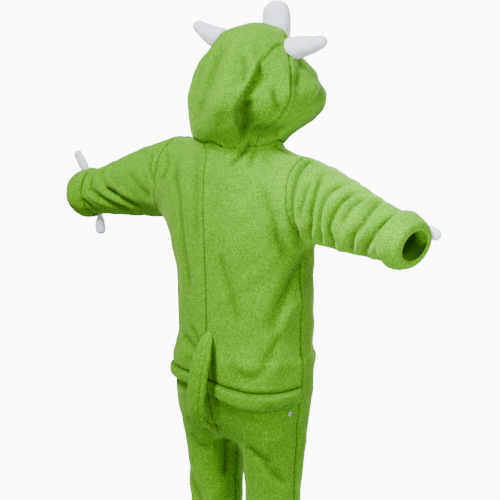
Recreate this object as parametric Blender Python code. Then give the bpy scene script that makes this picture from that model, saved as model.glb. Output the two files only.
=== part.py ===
"""Child's hooded one-piece plush pajamas, worn with the arms spread.

The garment stands on general body sections: a torso, two sleeves, two legs
and a hood are tubes given by tables of sizes, and they are blended into one
cloth form.  Each cut piece is a wall of cloth laid on that form between its
seams.  Metres, +Z up.  The wearer faces -Y and the wearer's left is +X.
The origin is the middle of the neck, where the wearer carries the garment.
"""
import math
from collections import namedtuple

import bmesh
import bpy
import numpy as np

# Driving sizes, metres and degrees.
CLOTH = 0.0022
SEAM_GAP = 0.0005
LAYER_GAP = 0.0004
NECK_GAP = 0.0023
MITRE_LEAST = 0.45
NECK_HALF_WIDTH = 0.078
NECK_HALF_DEPTH = 0.080
NECK_BACK = 0.026
NECK_MIDDLE = 0.006
NECK_RISE = 0.020
NECK_DIP = 0.030
NECK_BACK_DIP = 0.008
ARMHOLE_X = 0.172
ARMHOLE_TILT = 0.10
UNDERARM_Z = -0.205
FLAP_HEM_Z = -0.500
FLAP_STAND = 0.0062
HEM_DROP = {1: (-0.008, 0.000, 0.006), -1: (-0.014, -0.042, -0.038)}
HEM_DROP_FROM = -0.410
CROTCH_X = 0.0065
CROTCH_Z = -0.625
CROTCH_Y = 0.010
ANKLE_Z = -0.905
PLACKET_HALF = 0.014
PLACKET_END_Z = -0.470
PLACKET_ROWS = 16
PLACKET_CLOTH = 0.0020
SEAT_GAP = 0.0002
TAIL_GAP = 0.0006
SNAP_RADIUS = 0.0052
SNAP_HEIGHT = 0.0024
SNAP_LIFT = 0.0005
SNAP_RIGHT = (-0.144, 0.038, -0.556)
SNAP_LEFT = (0.144, 0.038, -0.522)
LEFT = 1
RIGHT = -1

Section = namedtuple("Section", "along side depth half_side half_depth power")

# Torso: along = height, side = middle to the left, depth = middle to the back.
TORSO = [
    Section(-0.640, 0.000, 0.008, 0.030, 0.030, 2.0),
    Section(-0.618, 0.002, 0.008, 0.084, 0.075, 2.1),
    Section(-0.585, 0.004, 0.008, 0.118, 0.104, 2.2),
    Section(-0.540, 0.004, 0.008, 0.135, 0.119, 2.2),
    Section(-0.490, 0.003, 0.007, 0.139, 0.126, 2.2),
    Section(-0.430, 0.001, 0.006, 0.142, 0.130, 2.2),
    Section(-0.360, 0.000, 0.006, 0.143, 0.130, 2.2),
    Section(-0.280, 0.000, 0.010, 0.145, 0.128, 2.2),
    Section(-0.200, 0.002, 0.018, 0.158, 0.123, 2.3),
    Section(-0.130, 0.004, 0.026, 0.162, 0.113, 2.3),
    Section(-0.070, 0.006, 0.030, 0.140, 0.098, 2.2),
    Section(-0.030, 0.006, 0.028, 0.104, 0.086, 2.1),
    Section(0.010, 0.006, 0.026, 0.078, 0.080, 2.0),
    Section(0.060, 0.006, 0.026, 0.070, 0.075, 2.0),
]
# Sleeves: along = distance from the armhole out along the arm,
# side = middle above the arm's line, depth = middle to the back.
SLEEVE_LEFT = [
    Section(-0.110, -0.010, 0.020, 0.060, 0.060, 2.2),
    Section(-0.050, -0.004, 0.018, 0.080, 0.078, 2.2),
    Section(0.000, 0.000, 0.016, 0.090, 0.080, 2.2),
    Section(0.060, 0.004, 0.012, 0.082, 0.073, 2.1),
    Section(0.130, 0.004, 0.008, 0.072, 0.065, 2.1),
    Section(0.200, 0.002, 0.004, 0.062, 0.058, 2.0),
    Section(0.270, 0.000, 0.002, 0.051, 0.051, 2.0),
    Section(0.340, 0.000, 0.000, 0.042, 0.044, 2.0),
]
SLEEVE_RIGHT = [
    Section(-0.110, -0.010, 0.020, 0.060, 0.060, 2.2),
    Section(-0.050, -0.006, 0.018, 0.078, 0.078, 2.2),
    Section(0.000, -0.004, 0.016, 0.084, 0.080, 2.2),
    Section(0.060, 0.002, 0.012, 0.076, 0.073, 2.1),
    Section(0.130, 0.004, 0.008, 0.067, 0.065, 2.1),
    Section(0.200, 0.006, 0.004, 0.056, 0.057, 2.0),
    Section(0.250, 0.008, 0.002, 0.049, 0.051, 2.0),
    Section(0.300, 0.010, 0.000, 0.042, 0.045, 2.0),
]
SLEEVE_ROOT = (0.150, 0.006, -0.112)
SLEEVE_RISE_LEFT = 0.018
SLEEVE_DROP_LEFT = 10.0
SLEEVE_DROP_RIGHT = 15.0
SLEEVE_FORWARD_LEFT = 0.0
SLEEVE_FORWARD_RIGHT = -10.0
SLEEVE_LENGTH = {1: 0.335, -1: 0.292}
CUFF_ROWS = 4
CUFF_CLOTH = 0.0030
CUFF_PUFF = 0.0010
CLAW_LIFT = 0.0038

# Legs: along = height, side = middle away from the crotch, depth = to the back.
LEG_LEFT = [
    Section(-0.930, 0.080, 0.012, 0.052, 0.056, 2.0),
    Section(-0.860, 0.079, 0.010, 0.053, 0.058, 2.0),
    Section(-0.780, 0.079, 0.008, 0.054, 0.061, 2.0),
    Section(-0.700, 0.081, 0.007, 0.054, 0.068, 2.0),
    Section(-0.650, 0.080, 0.006, 0.058, 0.078, 2.0),
    Section(-0.600, 0.076, 0.006, 0.064, 0.092, 2.1),
    Section(-0.540, 0.069, 0.006, 0.072, 0.102, 2.1),
    Section(-0.460, 0.062, 0.005, 0.074, 0.110, 2.1),
]
LEG_RIGHT = [
    Section(-0.930, 0.079, 0.012, 0.050, 0.055, 2.0),
    Section(-0.860, 0.077, 0.010, 0.052, 0.057, 2.0),
    Section(-0.780, 0.074, 0.008, 0.055, 0.061, 2.0),
    Section(-0.700, 0.072, 0.007, 0.058, 0.071, 2.0),
    Section(-0.650, 0.071, 0.006, 0.062, 0.080, 2.0),
    Section(-0.600, 0.068, 0.006, 0.067, 0.092, 2.1),
    Section(-0.540, 0.064, 0.006, 0.071, 0.102, 2.1),
    Section(-0.460, 0.062, 0.005, 0.073, 0.110, 2.1),
]
# Hood: along = height, side and depth in the hood's own turned directions.
HOOD_TURN = 8.0
HOOD = [
    Section(-0.025, 0.000, 0.006, 0.074, 0.076, 2.0),
    Section(0.010, -0.006, 0.000, 0.100, 0.112, 2.0),
    Section(0.040, -0.017, -0.016, 0.114, 0.140, 2.1),
    Section(0.083, -0.023, -0.0235, 0.125, 0.152, 2.1),
    Section(0.117, -0.020, -0.021, 0.118, 0.135, 2.1),
    Section(0.150, -0.016, -0.0165, 0.105, 0.112, 2.1),
    Section(0.172, -0.0145, -0.015, 0.092, 0.096, 2.0),
    Section(0.197, -0.016, -0.016, 0.075, 0.077, 2.0),
    Section(0.220, -0.019, -0.020, 0.046, 0.048, 2.0),
    Section(0.230, -0.020, -0.020, 0.014, 0.016, 2.0),
]


def smooth_rows(table, at):
    """All sizes of a table as smooth curves, read at the given places."""
    rows = np.array(table, float)
    places = rows[:, 0]
    values = rows[:, 1:]
    slope = np.gradient(values, places, axis=0)
    at = np.clip(at, places[0], places[-1])
    low = np.clip(np.searchsorted(places, at, side="right") - 1, 0, len(places) - 2)
    step = (places[low + 1] - places[low])[..., None]
    u = (at - places[low])[..., None] / step
    start = values[low] * (1 + 2 * u) * (1 - u) ** 2
    start = start + slope[low] * step * u * (1 - u) ** 2
    end = values[low + 1] * u * u * (3 - 2 * u)
    end = end + slope[low + 1] * step * u * u * (u - 1)
    return start + end


def smooth_column(table, name, at):
    """One size of a table as a smooth curve, read at the given places."""
    return smooth_rows(table, np.asarray(at, float))[..., Section._fields.index(name) - 1]


class Tube:
    """A tube of cloth: sections along a straight line, from a table."""

    def __init__(self, table, root, side, depth, along):
        self.table = table
        self.root = np.array(root, float)
        self.frame = np.array([side, depth, along], float)

    def parts(self, points):
        """Side, depth and length of points, and the sizes of the tube there."""
        local = (points - self.root) @ self.frame.T
        sizes = smooth_rows(self.table, local[..., 2])
        side = local[..., 0] - sizes[..., 0]
        depth = local[..., 1] - sizes[..., 1]
        return side, depth, local[..., 2], sizes

    def reach(self, points):
        """Distance outside the tube, less than zero inside."""
        side, depth, along, sizes = self.parts(points)
        far = np.hypot(side, depth) + 1e-9
        ratio = (np.abs(side / far) / sizes[..., 2]) ** sizes[..., 4]
        ratio = ratio + (np.abs(depth / far) / sizes[..., 3]) ** sizes[..., 4]
        outside = far - ratio ** (-1 / sizes[..., 4])
        return np.maximum(outside, self.table[0].along - along)

    def ring(self, along, angles):
        """Points round the tube; angle 0 is its side, 90 degrees its back."""
        along = np.broadcast_to(along, np.shape(angles))
        sizes = smooth_rows(self.table, np.asarray(along, float))
        side = sizes[..., 0] + sizes[..., 2] * np.cos(angles)
        depth = sizes[..., 1] + sizes[..., 3] * np.sin(angles)
        local = np.stack([side, depth, along], axis=-1)
        return local @ self.frame + self.root


def sleeve_tube(hand, table, drop_angle, forward, rise):
    """The sleeve's tube; its side direction is up and its depth is back."""
    drop = math.radians(drop_angle)
    turn = math.radians(forward)
    out = np.array([hand * math.cos(turn), -math.sin(turn), 0.0])
    along = out * math.cos(drop) + np.array([0.0, 0.0, -math.sin(drop)])
    up = out * math.sin(drop) + np.array([0.0, 0.0, math.cos(drop)])
    back = np.array([hand * math.sin(turn), math.cos(turn), 0.0])
    root = (hand * SLEEVE_ROOT[0], SLEEVE_ROOT[1], SLEEVE_ROOT[2] + rise)
    return Tube(table, root, up, back, along)


def leg_tube(hand, table):
    return Tube(table, (0, 0, 0), (hand, 0, 0), (0, 1, 0), (0, 0, 1))


TURN = math.radians(HOOD_TURN)
HOOD_SIDE = (math.cos(TURN), -math.sin(TURN), 0.0)
HOOD_DEPTH = (math.sin(TURN), math.cos(TURN), 0.0)
torso = Tube(TORSO, (0, 0, 0), (1, 0, 0), (0, 1, 0), (0, 0, 1))
sleeves = {
    LEFT: sleeve_tube(
        LEFT, SLEEVE_LEFT, SLEEVE_DROP_LEFT, SLEEVE_FORWARD_LEFT, SLEEVE_RISE_LEFT
    ),
    RIGHT: sleeve_tube(
        RIGHT, SLEEVE_RIGHT, SLEEVE_DROP_RIGHT, SLEEVE_FORWARD_RIGHT, 0.0
    ),
}
legs = {LEFT: leg_tube(LEFT, LEG_LEFT), RIGHT: leg_tube(RIGHT, LEG_RIGHT)}
hood = Tube(HOOD, (0, 0.020, 0), HOOD_SIDE, HOOD_DEPTH, (0, 0, 1))
TUBES = {
    "torso": torso,
    "sleeve_left": sleeves[LEFT],
    "sleeve_right": sleeves[RIGHT],
    "leg_left": legs[LEFT],
    "leg_right": legs[RIGHT],
    "hood": hood,
}


def blend(first, second, width):
    """The nearer of two distances, rounded where they meet."""
    mix = np.clip(0.5 + 0.5 * (second - first) / width, 0, 1)
    return second * (1 - mix) + first * mix - width * mix * (1 - mix)


def body_form(points):
    """Distance outside the garment below the neck."""
    trunk = torso.reach(points)
    top = points[..., 2] - TORSO[-1].along
    trunk = np.maximum(trunk, top)
    lower = np.minimum(legs[LEFT].reach(points), legs[RIGHT].reach(points))
    lower = np.maximum(lower, points[..., 2] - LEG_LEFT[-1].along)
    form = blend(trunk, lower, 0.030)
    for hand in (LEFT, RIGHT):
        form = blend(form, sleeves[hand].reach(points), 0.045)
    return form


def hood_form(points):
    shape = hood.reach(points)
    return np.maximum(shape, points[..., 2] - HOOD[-1].along)


def whole_form(points):
    return blend(body_form(points), hood_form(points), 0.016)


def slope_of(form, points):
    """Outward direction of the form, not yet of unit length."""
    step = 0.0004
    moves = np.eye(3) * step
    ahead = form(points[None] + moves.reshape(3, *([1] * (points.ndim - 1)), 3))
    behind = form(points[None] - moves.reshape(3, *([1] * (points.ndim - 1)), 3))
    return np.moveaxis(ahead - behind, 0, -1) / (2 * step)


def unit(vectors):
    return vectors / np.maximum(np.linalg.norm(vectors, axis=-1, keepdims=True), 1e-12)


def drop(form, points, hold=None, rounds=6):
    """Moves points onto the form, in a plane square to hold if one is given."""
    points = np.array(points, float)
    for _ in range(rounds):
        slope = slope_of(form, points)
        if hold is not None:
            hold = np.asarray(hold, float)
            slope = slope - (slope @ hold)[..., None] * hold
        size = np.maximum((slope ** 2).sum(-1), 0.04)
        move = form(points) / size
        move = np.clip(move, -0.03, 0.03)
        points = points - move[..., None] * slope
    return points


def respace(row, places=None):
    """Points spread along the row at equal or given shares of its length."""
    lengths = np.linalg.norm(np.diff(row, axis=0), axis=1)
    total = np.concatenate([[0], np.cumsum(lengths)])
    if places is None:
        places = np.linspace(0, 1, len(row))
    wanted = np.asarray(places) * total[-1]
    return np.stack([np.interp(wanted, total, row[:, k]) for k in range(3)], axis=1)


def patch(bottom, top, start, end):
    """Rows of points filling four border rows."""
    rows = len(start)
    columns = len(bottom)
    t = np.linspace(0, 1, rows)[:, None, None]
    s = np.linspace(0, 1, columns)[None, :, None]
    across = (1 - s) * start[:, None] + s * end[:, None]
    upright = (1 - t) * bottom[None] + t * top[None]
    corners = (1 - t) * ((1 - s) * bottom[0] + s * bottom[-1])
    corners = corners + t * ((1 - s) * top[0] + s * top[-1])
    return across + upright - corners


# Counts of mesh cells.
COLUMNS = 11
NECK_CELLS = 6
TORSO_ROWS = 11
CROTCH_ROWS = 6
LEG_ROWS = 8
UPPER_ROWS = 8
SLEEVE_ROWS = 24
HOOD_RIBS = 10
HOOD_COLUMNS = 22
FRONT_RIBS = 6
RIB_LIFT = 0.005

# Hood seams: the foot of each on the neck ring, degrees from the back,
# and the top of its arc in the hood's own depth and height.
HOOD_BACK_FOOT = 30.0
FRONT_SEAM_FOOT = 62.0
FRONT_SEAM_TOP = (-0.045, 0.222)
HEM_FOOT = 142.0
HEM_TOP = (-0.170, 0.105)
OPENING_FOOT = 157.0
OPENING_TOP = (-0.172, 0.088)
FRONT_MIDDLE_TOP = (-0.125, 0.165)
HOOD_PROFILE = [
    (0.086, 0.000),
    (0.118, 0.045),
    (0.126, 0.083),
    (0.112, 0.125),
    (0.090, 0.160),
    (0.060, 0.195),
    (0.025, 0.220),
    (-0.010, 0.229),
    (-0.026, 0.228),
]

# Stuffed horns on the hood: the line of each runs outward, up and forward
# from its place on the hood; the middle one is a short upright pad.
HORN_ROOT_LEFT = (0.060, -0.006, 0.196)
HORN_ROOT_RIGHT = (-0.092, -0.040, 0.178)
HORN_LINE_LEFT = [
    (-0.004, -0.002, 0.000),
    (0.030, 0.007, 0.004),
    (0.064, 0.019, 0.006),
    (0.096, 0.035, 0.006),
]
HORN_LINE_RIGHT = [
    (-0.004, -0.001, 0.000),
    (0.030, 0.004, 0.004),
    (0.064, 0.009, 0.006),
    (0.098, 0.016, 0.006),
]
HORN_WIDTHS = (0.0235, 0.0235, 0.0220, 0.0195, 0.0165, 0.0135, 0.0105)
CREST_SIDE = -0.024
CREST_DEPTH = -0.080
CREST_LINE = [(0.000, 0.176), (0.002, 0.212), (0.004, 0.245), (0.004, 0.276)]
CREST_WIDTHS = (0.027, 0.032, 0.036, 0.037, 0.034, 0.025)
TAIL_LINE = [
    (-0.008, 0.136, -0.384),
    (-0.007, 0.153, -0.422),
    (-0.001, 0.163, -0.475),
    (0.006, 0.164, -0.530),
    (0.009, 0.155, -0.578),
]
TAIL_WIDTHS = (0.010, 0.015, 0.019, 0.021, 0.022, 0.021, 0.018, 0.012)
CLAW_TOP_LINE = [(0.450, 0.016, -0.103), (0.462, 0.018, -0.080), (0.480, 0.020, -0.052)]
CLAW_TOP_WIDTHS = (0.0085, 0.0095, 0.0100, 0.0090)
CLAW_UNDER_LINE = [(0.415, 0.012, -0.180), (0.416, 0.012, -0.208), (0.414, 0.012, -0.238)]
CLAW_UNDER_WIDTHS = (0.0035, 0.0045, 0.0100, 0.0115, 0.0100)
CLAW_FRONT_LINE = [(-0.398, -0.002, -0.160), (-0.422, -0.006, -0.160), (-0.454, -0.003, -0.166)]

# The centre back seam leans to the wearer's left near the neck.
SEAM_LEAN = 0.014
SEAM_LEAN_FROM = -0.250


def solid(name, paint):
    """A new empty object of the given paint, and the mesh tool for it."""
    mesh = bpy.data.meshes.new(name)
    thing = bpy.data.objects.new(name, mesh)
    bpy.context.scene.collection.objects.link(thing)
    colour, roughness = paint
    material = bpy.data.materials.new(name + "_cloth")
    material.use_nodes = True
    shader = material.node_tree.nodes["Principled BSDF"]
    shader.inputs["Base Color"].default_value = (*colour, 1.0)
    shader.inputs["Roughness"].default_value = roughness
    shader.inputs["Metallic"].default_value = 0.0
    mesh.materials.append(material)
    return thing


def finish(thing, tool):
    """Writes the shape into its object, faces out and shaded smooth."""
    bmesh.ops.recalc_face_normals(tool, faces=tool.faces[:])
    if tool.calc_volume(signed=True) < 0:
        bmesh.ops.reverse_faces(tool, faces=tool.faces[:])
    for face in tool.faces:
        face.smooth = True
    tool.to_mesh(thing.data)
    tool.free()
    thing.data.update()


def trimmed(points, normals, gap, wrap, sides="btse"):
    """Pulls the border rows back from the seams by half of the seam gap."""
    points = points.copy()
    moved = np.zeros_like(points)
    borders = []
    if "b" in sides:
        borders.append((0, slice(None), 1, slice(None)))
    if "t" in sides:
        borders.append((-1, slice(None), -2, slice(None)))
    if not wrap and "s" in sides:
        borders.append((slice(None), 0, slice(None), 1))
    if not wrap and "e" in sides:
        borders.append((slice(None), -1, slice(None), -2))
    for row, column, next_row, next_column in borders:
        edge = points[row, column]
        if wrap:
            after = unit(np.roll(edge, -1, axis=0) - edge)
            before = np.roll(after, 1, axis=0)
        else:
            steps = unit(np.diff(edge, axis=0))
            after = np.concatenate([steps, steps[-1:]])
            before = np.concatenate([steps[:1], steps])
        tangent = (after + before) / 2
        mitre = np.maximum(np.linalg.norm(tangent, axis=-1, keepdims=True), MITRE_LEAST)
        inward = unit(np.cross(unit(normals[row, column]), unit(tangent)))
        toward = points[next_row, next_column] - edge
        sign = np.sign((inward * unit(toward)).sum())
        moved[row, column] += inward * sign * gap / 2 / mitre
    return points + moved


def wall(name, points, normals, thickness, paint, wrap=False):
    """A wall of cloth: its outer face is given, its inner face lies inside."""
    rows, columns = points.shape[:2]
    inner = points - normals * thickness
    thing = solid(name, paint)
    tool = bmesh.new()
    across = columns if wrap else columns - 1
    bmesh.ops.create_grid(tool, x_segments=across, y_segments=rows - 1, size=1.0)
    row_tag = tool.verts.layers.int.new("row")
    column_tag = tool.verts.layers.int.new("column")
    for vert in tool.verts:
        column = round((vert.co.x + 1) / 2 * across)
        row = round((vert.co.y + 1) / 2 * (rows - 1))
        vert[row_tag] = row
        vert[column_tag] = column % columns
        if wrap:
            angle = 2 * math.pi * column / columns
            vert.co = (math.cos(angle), math.sin(angle), row)
    if wrap:
        bmesh.ops.remove_doubles(tool, verts=tool.verts[:], dist=0.0001)
    sheet = tool.faces[:]
    grown = bmesh.ops.extrude_face_region(tool, geom=sheet, use_keep_orig=True)
    new = [item for item in grown["geom"] if isinstance(item, bmesh.types.BMVert)]
    outer = set(tool.verts) - set(new)
    for vert in outer:
        vert.co = points[vert[row_tag], vert[column_tag]]
    for vert in new:
        vert.co = inner[vert[row_tag], vert[column_tag]]
    finish(thing, tool)
    return thing


def stuffed(name, axis, across, widths, flats, paint, cells=(12, 8), seat=None):
    """A stuffed shape round a curved line, with a size and flatness per point."""
    thing = solid(name, paint)
    tool = bmesh.new()
    bmesh.ops.create_uvsphere(tool, u_segments=cells[0], v_segments=cells[1], radius=1.0)
    axis = np.array(axis, float)
    places = np.linspace(0, 1, len(axis))
    local = np.array([vert.co for vert in tool.verts])
    t = (1 - np.cos(np.arccos(np.clip(-local[:, 2], -1, 1)))) / 2
    t = np.clip(t, 0, 1)
    fine = np.linspace(0, 1, 60)
    line = np.stack([curve(places, axis[:, k], fine) for k in range(3)], axis=1)
    heading = unit(np.gradient(line, axis=0))
    middle = np.stack([np.interp(t, fine, line[:, k]) for k in range(3)], axis=1)
    ahead = unit(np.stack([np.interp(t, fine, heading[:, k]) for k in range(3)], axis=1))
    first = unit(np.cross(ahead, np.asarray(across, float)))
    second = np.cross(ahead, first)
    ring = np.hypot(local[:, 0], local[:, 1]) + 1e-12
    radius = np.interp(t, np.linspace(0, 1, len(widths)), widths)
    flat = np.interp(t, np.linspace(0, 1, len(flats)), flats)
    end = np.minimum(ring * 1.6, 1.0)
    co = middle + first * (radius * end * local[:, 0] / ring)[:, None]
    co = co + second * (radius * flat * end * local[:, 1] / ring)[:, None]
    if seat is not None:
        co = seat(co)
    for vert, place in zip(tool.verts, co):
        vert.co = place
    finish(thing, tool)
    return thing


def curve(places, values, at):
    """A smooth line through values."""
    table = [Section(p, v, 0, 0, 0, 0) for p, v in zip(places, values)]
    return smooth_column(table, "side", at)


NECK_RING = []

# Largest folds.  Each follows three points, given by the angle round its
# tube (90 is the back) and the length along it; width is half of the
# crease, and a rise less than zero is a trough.
Fold = namedtuple("Fold", "angle_1 along_1 angle_2 along_2 angle_3 along_3 width rise")
FOLDS = {
    "torso": [
        Fold(148, 0.000, 132, -0.030, 114, -0.062, 0.011, -0.004),
        Fold(152, -0.023, 146, -0.041, 141, -0.060, 0.009, -0.003),
        Fold(177, -0.243, 152, -0.325, 141, -0.405, 0.020, -0.005),
        Fold(161, -0.338, 148, -0.406, 135, -0.470, 0.020, 0.004),
        Fold(64, -0.329, 70, -0.373, 80, -0.421, 0.014, -0.005),
        Fold(131, -0.094, 122, -0.203, 113, -0.315, 0.022, 0.004),
        Fold(149, -0.074, 150, -0.130, 154, -0.191, 0.015, -0.004),
        Fold(155, -0.139, 160, -0.180, 171, -0.226, 0.014, 0.004),
        Fold(111, -0.255, 117, -0.315, 123, -0.375, 0.020, -0.003),
        Fold(97, -0.411, 99, -0.484, 100, -0.561, 0.016, -0.009),
        Fold(60, -0.053, 67, -0.142, 64, -0.225, 0.015, -0.003),
        Fold(-60, -0.080, -75, -0.180, -80, -0.300, 0.020, 0.003),
        Fold(-120, -0.080, -108, -0.200, -100, -0.300, 0.020, -0.003),
        Fold(-40, -0.300, -60, -0.380, -75, -0.460, 0.018, -0.004),
        Fold(-140, -0.300, -122, -0.370, -105, -0.450, 0.018, -0.004),
    ],
    "sleeve_right": [
        Fold(18, 0.005, 60, 0.030, 150, 0.050, 0.009, -0.005),
        Fold(20, 0.038, 65, 0.060, 145, 0.078, 0.009, -0.007),
        Fold(12, 0.082, 60, 0.097, 140, 0.098, 0.009, -0.006),
        Fold(5, 0.112, 50, 0.115, 118, 0.124, 0.008, -0.005),
        Fold(8, 0.142, 60, 0.145, 112, 0.140, 0.008, -0.005),
        Fold(0, 0.172, 45, 0.168, 120, 0.172, 0.009, -0.006),
        Fold(3, 0.200, 63, 0.209, 150, 0.192, 0.009, -0.007),
        Fold(12, 0.246, 67, 0.236, 160, 0.222, 0.008, -0.006),
        Fold(-15, 0.020, -70, 0.050, -150, 0.060, 0.011, -0.005),
        Fold(-10, 0.090, -70, 0.110, -140, 0.110, 0.010, -0.006),
        Fold(-5, 0.150, -60, 0.160, -150, 0.150, 0.010, -0.005),
        Fold(-8, 0.210, -70, 0.220, -150, 0.210, 0.010, -0.006),
    ],
    "sleeve_left": [
        Fold(50, 0.185, 93, 0.146, 143, 0.028, 0.011, -0.008),
        Fold(72, 0.224, 116, 0.180, 152, 0.111, 0.010, -0.006),
        Fold(100, 0.291, 126, 0.270, 151, 0.253, 0.010, -0.004),
        Fold(68, 0.072, 103, 0.041, 131, 0.024, 0.010, -0.003),
        Fold(-30, 0.050, -90, 0.080, -150, 0.070, 0.012, -0.005),
        Fold(-20, 0.130, -80, 0.150, -150, 0.130, 0.012, -0.005),
        Fold(-10, 0.210, -80, 0.230, -150, 0.220, 0.011, -0.005),
    ],
    "leg_left": [
        Fold(60, -0.600, 80, -0.700, 95, -0.800, 0.014, -0.004),
        Fold(-60, -0.620, -80, -0.720, -100, -0.820, 0.014, -0.004),
        Fold(20, -0.860, 90, -0.845, 160, -0.860, 0.012, -0.004),
        Fold(-20, -0.865, -90, -0.850, -160, -0.870, 0.012, -0.004),
    ],
    "leg_right": [
        Fold(50, -0.640, 75, -0.720, 100, -0.780, 0.014, -0.004),
        Fold(-50, -0.600, -85, -0.700, -95, -0.800, 0.014, -0.004),
        Fold(15, -0.850, 85, -0.862, 165, -0.850, 0.012, -0.004),
        Fold(-25, -0.855, -95, -0.868, -160, -0.855, 0.012, -0.004),
    ],
    "hood": [
        Fold(92, 0.186, 88, 0.128, 88, 0.070, 0.012, -0.006),
        Fold(114, 0.180, 107, 0.109, 103, 0.032, 0.013, 0.005),
        Fold(120, 0.182, 136, 0.169, 148, 0.153, 0.009, 0.006),
        Fold(135, 0.153, 140, 0.138, 142, 0.123, 0.009, -0.005),
        Fold(138, 0.138, 127, 0.081, 127, 0.035, 0.010, 0.007),
        Fold(142, 0.123, 141, 0.091, 141, 0.062, 0.012, -0.007),
        Fold(74, 0.156, 80, 0.108, 81, 0.079, 0.012, 0.004),
        Fold(-161, 0.152, -170, 0.127, -170, 0.098, 0.012, -0.004),
        Fold(40, 0.150, 35, 0.100, 40, 0.050, 0.014, -0.006),
        Fold(20, 0.160, 15, 0.110, 20, 0.060, 0.014, 0.004),
        Fold(-15, 0.140, -10, 0.100, -20, 0.060, 0.013, -0.004),
    ],
}


def neck_fade(points):
    """The folds run out before the neck seam."""
    if not NECK_RING:
        NECK_RING.append(neck_points(np.linspace(-180, 180, 73)))
    far = np.full(points.shape[:-1], 9.0)
    for place in NECK_RING[0]:
        far = np.minimum(far, np.linalg.norm(points - place, axis=-1))
    return np.clip((far - 0.006) / 0.020, 0, 1)


def fold_rise(points):
    """Height of the folds over the plain form."""
    rise = np.zeros(points.shape[:-1])
    for name, rows in FOLDS.items():
        tube = TUBES[name]
        side, depth, along, sizes = tube.parts(points)
        radius = (sizes[..., 2] + sizes[..., 3]) / 2
        angle = np.degrees(np.arctan2(depth, side))
        near = np.clip(1.5 - np.abs(tube.reach(points)) / 0.02, 0, 1)
        total = np.zeros(points.shape[:-1])
        for row in rows:
            away = np.full(points.shape[:-1], 9.0)
            place = np.zeros(points.shape[:-1])
            ends = (
                (row.angle_1, row.along_1, row.angle_2, row.along_2),
                (row.angle_2, row.along_2, row.angle_3, row.along_3),
            )
            for part, (angle_a, along_a, angle_b, along_b) in enumerate(ends):
                turn = (angle - angle_a + 180) % 360 - 180
                x = np.radians(turn) * radius
                y = along - along_a
                run_x = math.radians(angle_b - angle_a) * radius
                run_y = along_b - along_a
                t = np.clip((x * run_x + y * run_y) / (run_x ** 2 + run_y ** 2), 0, 1)
                far = np.hypot(x - t * run_x, y - t * run_y)
                closer = far < away
                away = np.where(closer, far, away)
                place = np.where(closer, (part + t) / 2, place)
            taper = np.clip(np.minimum(place, 1 - place) / 0.22 + 0.15, 0, 1)
            total = total + row.rise * taper * np.exp(-(away / row.width) ** 2)
        rise = rise + total * near
    return rise * neck_fade(points)


def flap_rise(points):
    """The back flap stands off the seat below it."""
    share = np.clip((-0.400 - points[..., 2]) / 0.050, 0, 1)
    return FLAP_STAND * share * share * (3 - 2 * share)


def draped(points, extra=None):
    """Moves points of the plain form out to the folds; gives their normals."""
    normals = unit(slope_of(whole_form, points))
    rise = fold_rise(points)
    if extra is not None:
        rise = rise + extra(points)
    return points + normals * rise[..., None], normals


def flap_drop(grid, hand):
    """Lowers the flap's hem as it hangs, more on the wearer's right."""
    hem = HEM_DROP[hand]
    s = np.linspace(0, 1, grid.shape[1])
    lower = hem[0] * (2 * s - 1) * (s - 1) + hem[1] * 4 * s * (1 - s) + hem[2] * s * (2 * s - 1)
    share = np.clip((HEM_DROP_FROM - grid[..., 2]) / (HEM_DROP_FROM - FLAP_HEM_Z), 0, 1)
    out = grid.copy()
    out[..., 2] += lower * share
    moved = drop(whole_form, out, hold=(0, 0, 1))
    moved[:, 0, 0] = grid[:, 0, 0]
    keep = share[..., None] <= 0
    return np.where(keep, grid, moved)


def inner_drop(grid):
    """Drops the inside of a patch on the form and leaves its borders."""
    out = grid.copy()
    out[1:-1, 1:-1] = drop(whole_form, grid[1:-1, 1:-1])
    return out


def rows_on_form(starts, middles, ends, count):
    """Evenly spaced rows on the form, each through three near points."""
    t = np.linspace(0, 1, count)[None, :, None]
    rows = starts[:, None] * (2 * t - 1) * (t - 1)
    rows = rows + middles[:, None] * 4 * t * (1 - t) + ends[:, None] * t * (2 * t - 1)
    for _ in range(2):
        rows[:, 1:-1] = drop(whole_form, rows[:, 1:-1])
        rows = np.array([respace(row) for row in rows])
    rows[:, 1:-1] = drop(whole_form, rows[:, 1:-1])
    return rows


def neck_points(angles):
    """Points of the neck seam; angle 0 is the back, 90 degrees the left."""
    angles = np.radians(np.asarray(angles, float))
    lean = SEAM_LEAN * np.clip(np.cos(angles), 0, 1)
    x = NECK_MIDDLE + NECK_HALF_WIDTH * np.sin(angles) + lean
    y = NECK_BACK + NECK_HALF_DEPTH * np.cos(angles)
    z = NECK_RISE * np.abs(np.sin(angles)) - NECK_DIP * (1 - np.cos(angles)) / 2 - NECK_BACK_DIP
    points = np.stack([x, y, z], axis=-1)
    return drop(whole_form, points, hold=(0, 0, 1))


def hood_feet(angles):
    """Points on the straight runs between the body's points of the neck seam."""
    angles = np.asarray(angles, float)
    steps = np.arange(-180, 181, 90 / NECK_CELLS)
    ring = neck_points(steps)
    return np.stack([np.interp(angles, steps, ring[:, k]) for k in range(3)], axis=-1)


def armhole(hand):
    """The armhole seam from the underarm up the back, over and down the front."""
    cells = UPPER_ROWS * 2
    angles = np.linspace(np.pi, -np.pi, cells + 1)
    ring = sleeves[hand].ring(0.020, angles)
    normal = unit(np.array([hand * 1.0, 0.0, ARMHOLE_TILT]))
    origin = np.array([hand * ARMHOLE_X, 0.0, SLEEVE_ROOT[2]])
    ring = ring - ((ring - origin) @ normal)[:, None] * normal
    ring = drop(whole_form, ring, hold=normal)
    halves = []
    for half in (ring[:UPPER_ROWS + 1], ring[:UPPER_ROWS - 1:-1]):
        half = respace(half)
        half[1:-1] = drop(whole_form, half[1:-1], hold=normal)
        halves.append(half)
    back_half, front_half = halves
    return back_half, front_half


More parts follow.
